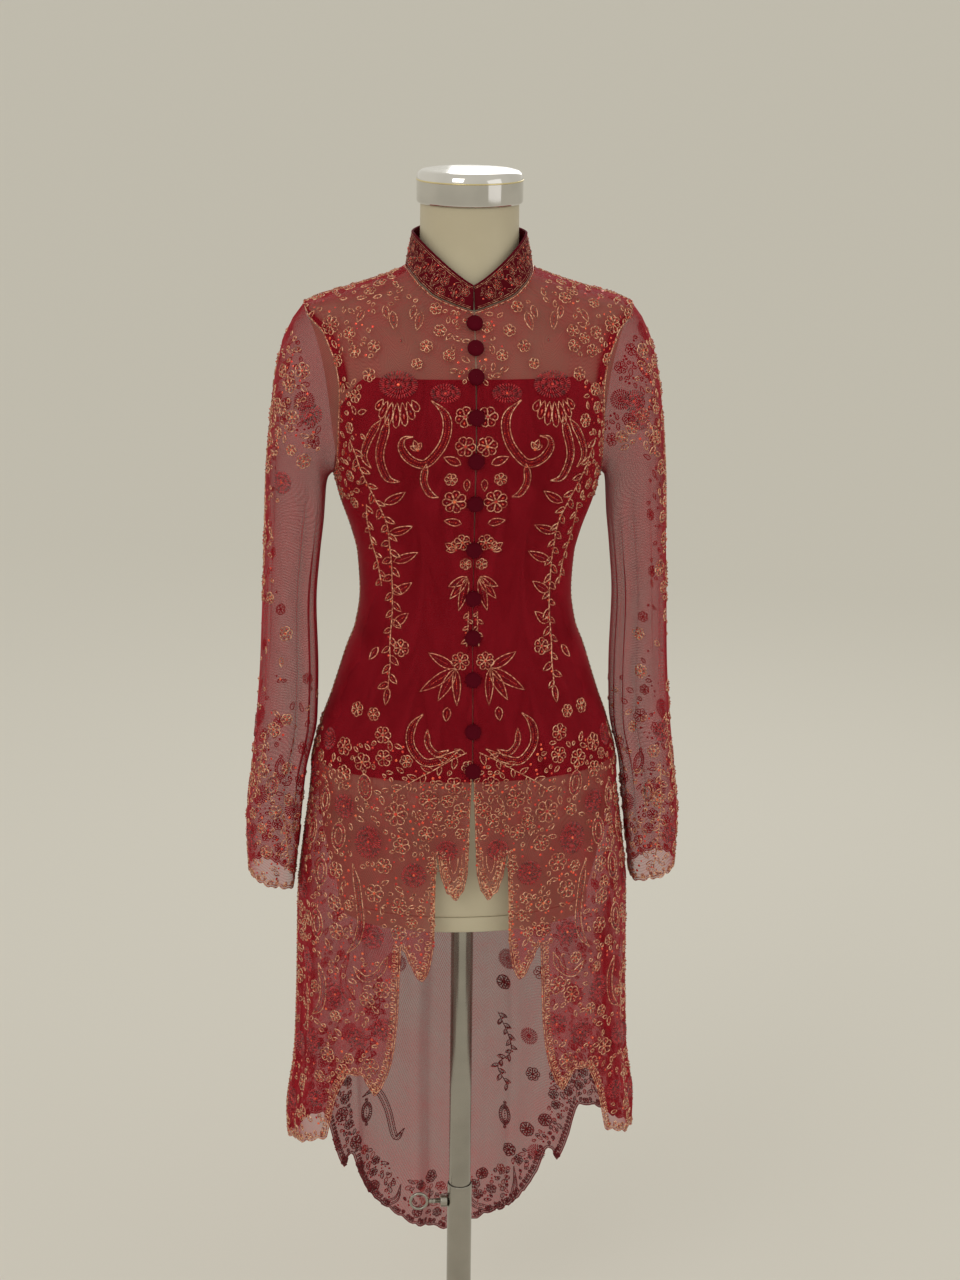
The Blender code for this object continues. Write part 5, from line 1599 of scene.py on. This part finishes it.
def make_stand():
    """The round base, its tube with a flared foot, the pole in it, and the clamp with its ring."""
    chrome, steel = MATERIALS["chrome"], MATERIALS["steel"]
    top, edge = BASE_THICKNESS, BASE_RADIUS
    lathe("stand_base_looks",
          rounded([(AXIS_RADIUS, 0), (edge - 0.003, 0), (edge, 0.003), (edge, top - 0.003),
                   (edge - 0.003, top), (0.030, top), (AXIS_RADIUS, top)], 0.002, 5),
          chrome, body="stand", sides=160)
    flare, foot = TUBE_RADIUS + 0.014, BASE_THICKNESS + SEAM_GAP
    lathe("stand_tube_looks",
          rounded([(SOCKET_RADIUS, foot), (flare, foot), (flare, foot + 0.006), (0.0150, foot + 0.010),
                   (TUBE_RADIUS, 0.030), (TUBE_RADIUS, TUBE_TOP - 0.0015), (0.0138, TUBE_TOP),
                   (0.0131, TUBE_TOP), (SOCKET_RADIUS, TUBE_TOP - 0.001), (SOCKET_RADIUS, foot)]),
          steel, body="stand")
    lathe("pole_looks",
          rounded([(AXIS_RADIUS, POLE_FOOT), (POLE_RADIUS, POLE_FOOT), (POLE_RADIUS, POLE_TOP),
                   (AXIS_RADIUS, POLE_TOP)]), steel, body="pole")
    bore, boss, length = 0.0033, 0.0075, 0.008
    lathe("clamp_boss_looks",
          rounded([(bore, 0), (boss, 0), (boss, length), (bore, length), (bore, 0)], 0.0009),
          steel, clamp_place(0.0145), 48, "stand")
    tip, head, root, crest = 0.0128, 0.0355, 0.0026, 0.0030
    screw = [(AXIS_RADIUS, tip)]
    for k in range(26):
        z = tip + 0.0004 + k * 0.0006
        screw += [(root, z), (crest, z + 0.0003)]
    screw += [(crest, head - 0.0045), (0.0024, head - 0.0040), (0.0024, head - 0.0032),
              (crest, head - 0.0028), (crest, head - 0.0006), (0.0024, head), (AXIS_RADIUS, head)]
    lathe("clamp_screw_looks", screw, steel, clamp_place(0), 32, "clamp")
    wire, radius = 0.0016, 0.0098
    around = circle(64)
    grid = []
    for turn in circle(12):
        out = radius + wire * cos(turn)
        grid.append(np.stack([out * np.cos(around), wire * sin(turn) + 0 * around, out * np.sin(around)], -1))
    place = clamp_place(0) @ Matrix.Translation((0, 0, head + SEAM_GAP + wire + radius))
    ring = ringed_object("clamp_ring_looks", np.array(grid + grid[:1]), steel, place)
    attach(ring, "clamp")


FORM_TURNS = np.linspace(0, 360, 161)[:-1]


def form_rings(heights):
    return over_body(FORM_TURNS[None, :], np.asarray(heights)[:, None], 0.0)


def make_form():
    """The smooth shell, its foot plate with the seam above, and the polished neck cap."""
    shell, chrome = MATERIALS["shell"], MATERIALS["chrome"]
    grid = form_rings(np.concatenate([[0.7172, 0.7178, 0.7190], np.linspace(0.722, FORM_TOP, 150)]))
    level = level_out(FORM_TURNS)
    grid[:3] -= level[None] * np.array([0.0011, 0.0004, 0.0001])[:, None, None]
    ends = [ring * (0.02, 0.02, 1) for ring in (grid[:1], grid[-1:])]
    torso = ringed_object("form_torso_looks", np.concatenate([ends[0], grid, ends[1]]), shell, sharp=50)
    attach(torso, "form")
    # the lid's rings: height, and how far each goes out of the form's own outline
    rim = form_rings([FORM_FOOT])[0] * (1, 1, 0)
    rings = [rim + level * off + np.array((0, 0, z))
             for z, off in ((0.7167, -0.0011), (0.7161, -0.0003), (0.7150, 0.0), (0.7015, 0.0),
                            (0.6997, -0.0006), (LID_FOOT, -0.0022))]
    # and those of its bore: height, and how far each goes out of the socket's radius
    rings += [level * (SOCKET_RADIUS * (1 + part)) + np.array((0, 0, z))
              for z, part in ((LID_FOOT, 0.84), (0.6994, 0.0), (0.7167, 0.0))]
    lid = ringed_object("form_lid_looks", np.array(rings + rings[:1]), shell, sharp=50)
    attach(lid, "form")
    lathe("neck_cap_looks",
          rounded([(AXIS_RADIUS, CAP_FOOT), (0.0530, CAP_FOOT), (CAP_RADIUS, CAP_FOOT + 0.0020),
                   (CAP_RADIUS, 1.4975), (0.0537, 1.5025), (0.0505, 1.5052), (0.0455, CAP_TOP),
                   (AXIS_RADIUS, CAP_TOP)], 0.0016, 5), chrome, sides=128)
    lathe("neck_cap_edge", rounded([(0.0549, 1.4950), (0.0555, 1.4953), (0.0555, 1.4965), (0.0549, 1.4968)],
                                   0.0003, 3), MATERIALS["brass"], sides=128)


BUTTON_HEIGHTS = [1.354, 1.332, 1.306, 1.267, 1.224, 1.179, 1.128, 1.074, 1.031, 0.987, 0.932, 0.890]


def make_buttons():
    """Covered domes with a soft rim and the faint gathers of their cloth."""
    turns = circle(40)
    for number, height in enumerate(BUTTON_HEIGHTS, start=1):
        seat = net_surface(0.0, height)
        up = net_surface(0.0, height + 0.004) - net_surface(0.0, height - 0.004)
        normal = Vector((0, -up[2], up[1])).normalized()
        origin = Vector((0, seat[1], seat[2])) + normal * 0.0010
        place = Matrix.Translation(origin) @ normal.to_track_quat('Z', 'Y').to_matrix().to_4x4()
        rings = []
        for radius, z in ((0.90, 0.0), (0.99, 0.06), (1.0, 0.20), (0.985, 0.36), (0.93, 0.54), (0.84, 0.70),
                          (0.70, 0.84), (0.50, 0.94), (0.26, 0.99), (0.02, 1.0)):
            gather = 1 + 0.012 * np.sin(turns * 13 + number) * (1 if 0.05 < z < 0.6 else 0)
            r = BUTTON_RADIUS * radius * gather
            rings.append(turned(r, z * BUTTON_RISE, turns))
        grid = np.array(rings)
        piece = ringed_object(f"button_{number:02d}_looks", grid, MATERIALS["button"], place,
                              uv=grid.reshape(-1, 3)[:, :2])
        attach(piece, "form")
        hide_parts(f"button_{number:02d}")


# ---------------------------------------------------------------- putting it together
HARD = {
    "form_torso_looks": ("form_torso", "form_shell"), "form_lid_looks": ("form_lid", "form_shell"),
    "neck_cap_looks": ("neck_cap", "cap_chrome"), "pole_looks": ("pole", "pole_steel"),
    "stand_base_looks": ("stand_base", "cap_chrome"), "stand_tube_looks": ("stand_tube", "pole_steel"),
    "clamp_boss_looks": ("clamp_boss", "pole_steel"), "clamp_screw_looks": ("clamp_screw", "pole_steel"),
    "clamp_ring_looks": ("clamp_ring", "pole_steel"),
}
# node: flat width, flat length, flat area, how it is held
CUTS = {
    "front_left": (0.262, 1.00, 0.174, "hung"),
    "front_right": (0.262, 1.00, 0.174, "hung"),
    "back": (0.585, 1.245, 0.508, "hung"),
    "sleeve_left": (0.33, 0.64, 0.150, "hung"),
    "sleeve_right": (0.33, 0.64, 0.150, "hung"),
    "collar": (0.425, 0.037, 0.0128, "hung"),
    "collar_binding": (0.40, 0.010, 0.0021, "folded"),
    "armhole_binding_left": (0.23, 0.011, 0.0019, "laid"),
    "armhole_binding_right": (0.23, 0.011, 0.0019, "laid"),
    "lining_front_left": (0.206, 0.425, 0.068, "stretched"),
    "lining_front_right": (0.206, 0.425, 0.068, "stretched"),
    "lining_back": (0.43, 0.43, 0.134, "stretched"),
}


def declare_sheets():
    for node, (wide, long, area, held) in CUTS.items():
        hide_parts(node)


def name_hard_pieces():
    for name, (node, slot) in HARD.items():
        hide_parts(node)


def area_light(name, place, target, size, power, color=(1, 1, 1)):
    data = bpy.data.lights.new(name, 'AREA')
    data.size = size
    data.energy = power
    data.color = color
    light = bpy.data.objects.new(name, data)
    light.location = place
    light.rotation_euler = (Vector(target) - Vector(place)).to_track_quat('-Z', 'Y').to_euler()
    bpy.context.scene.collection.objects.link(light)


def make_room():
    """A wide pale floor under a pale sky of soft light."""
    material, tree, shader = new_material("floor_paint")
    shader.inputs["Base Color"].default_value = (0.72, 0.70, 0.65, 1)
    grain = noise(tree, mapped(tree, "Object", (1, 1, 1)).outputs[0], 220.0, 2.0).outputs["Fac"]
    bump(tree, shader, grain, 0.0002, 0.2)
    set_inputs(shader, Roughness=0.9, Specular_IOR_Level=0.1)
    radii = np.array([0.001, 0.5, 2, 8, 60])[:, None]
    floor = ringed_object("floor", turned(radii, 0 * radii - 0.0002, circle(96)), material)
    world = bpy.data.worlds.new("sky")
    world.use_nodes = True
    background = world.node_tree.nodes["Background"]
    background.inputs["Color"].default_value = (1.0, 0.97, 0.87, 1)
    background.inputs["Strength"].default_value = 0.72
    bpy.context.scene.world = world
    middle = (0, 0, 0.95)
    area_light("key", (-1.6, -2.6, 2.9), middle, 1.4, 16, (1.0, 0.97, 0.92))
    area_light("fill", (2.4, -2.0, 1.8), middle, 1.8, 5, (0.97, 0.97, 1.0))
    area_light("rim", (0.8, 2.6, 2.4), middle, 1.4, 9)


def make_camera():
    data = bpy.data.cameras.new("camera")
    data.lens = 68.4
    data.sensor_width = 36
    camera = bpy.data.objects.new("camera", data)
    place, target = Vector((-0.220, -2.518, 1.756)), Vector((0.0161, 0, 1.0019))
    look = (target - place).to_track_quat('-Z', 'Y').to_matrix().to_4x4()
    camera.matrix_world = Matrix.Translation(place) @ look @ Matrix.Rotation(radians(0.7), 4, 'Z')
    bpy.context.scene.collection.objects.link(camera)
    bpy.context.scene.camera = camera


cloths = make_net_panels()
cloths.update(make_linings())
cloths.update({"sleeve_" + side: cloth for side, cloth in make_sleeves().items()})
cloths["collar"], cloths["collar_binding"] = make_collar()
cloths.update({"armhole_binding_" + side: cloth for side, cloth in make_armhole_bindings().items()})
make_stand()
make_form()
make_buttons()
sewn = embroider(cloths)
name_hard_pieces()
declare_sheets()
make_room()
make_camera()
bpy.context.scene.view_settings.view_transform = 'Standard'
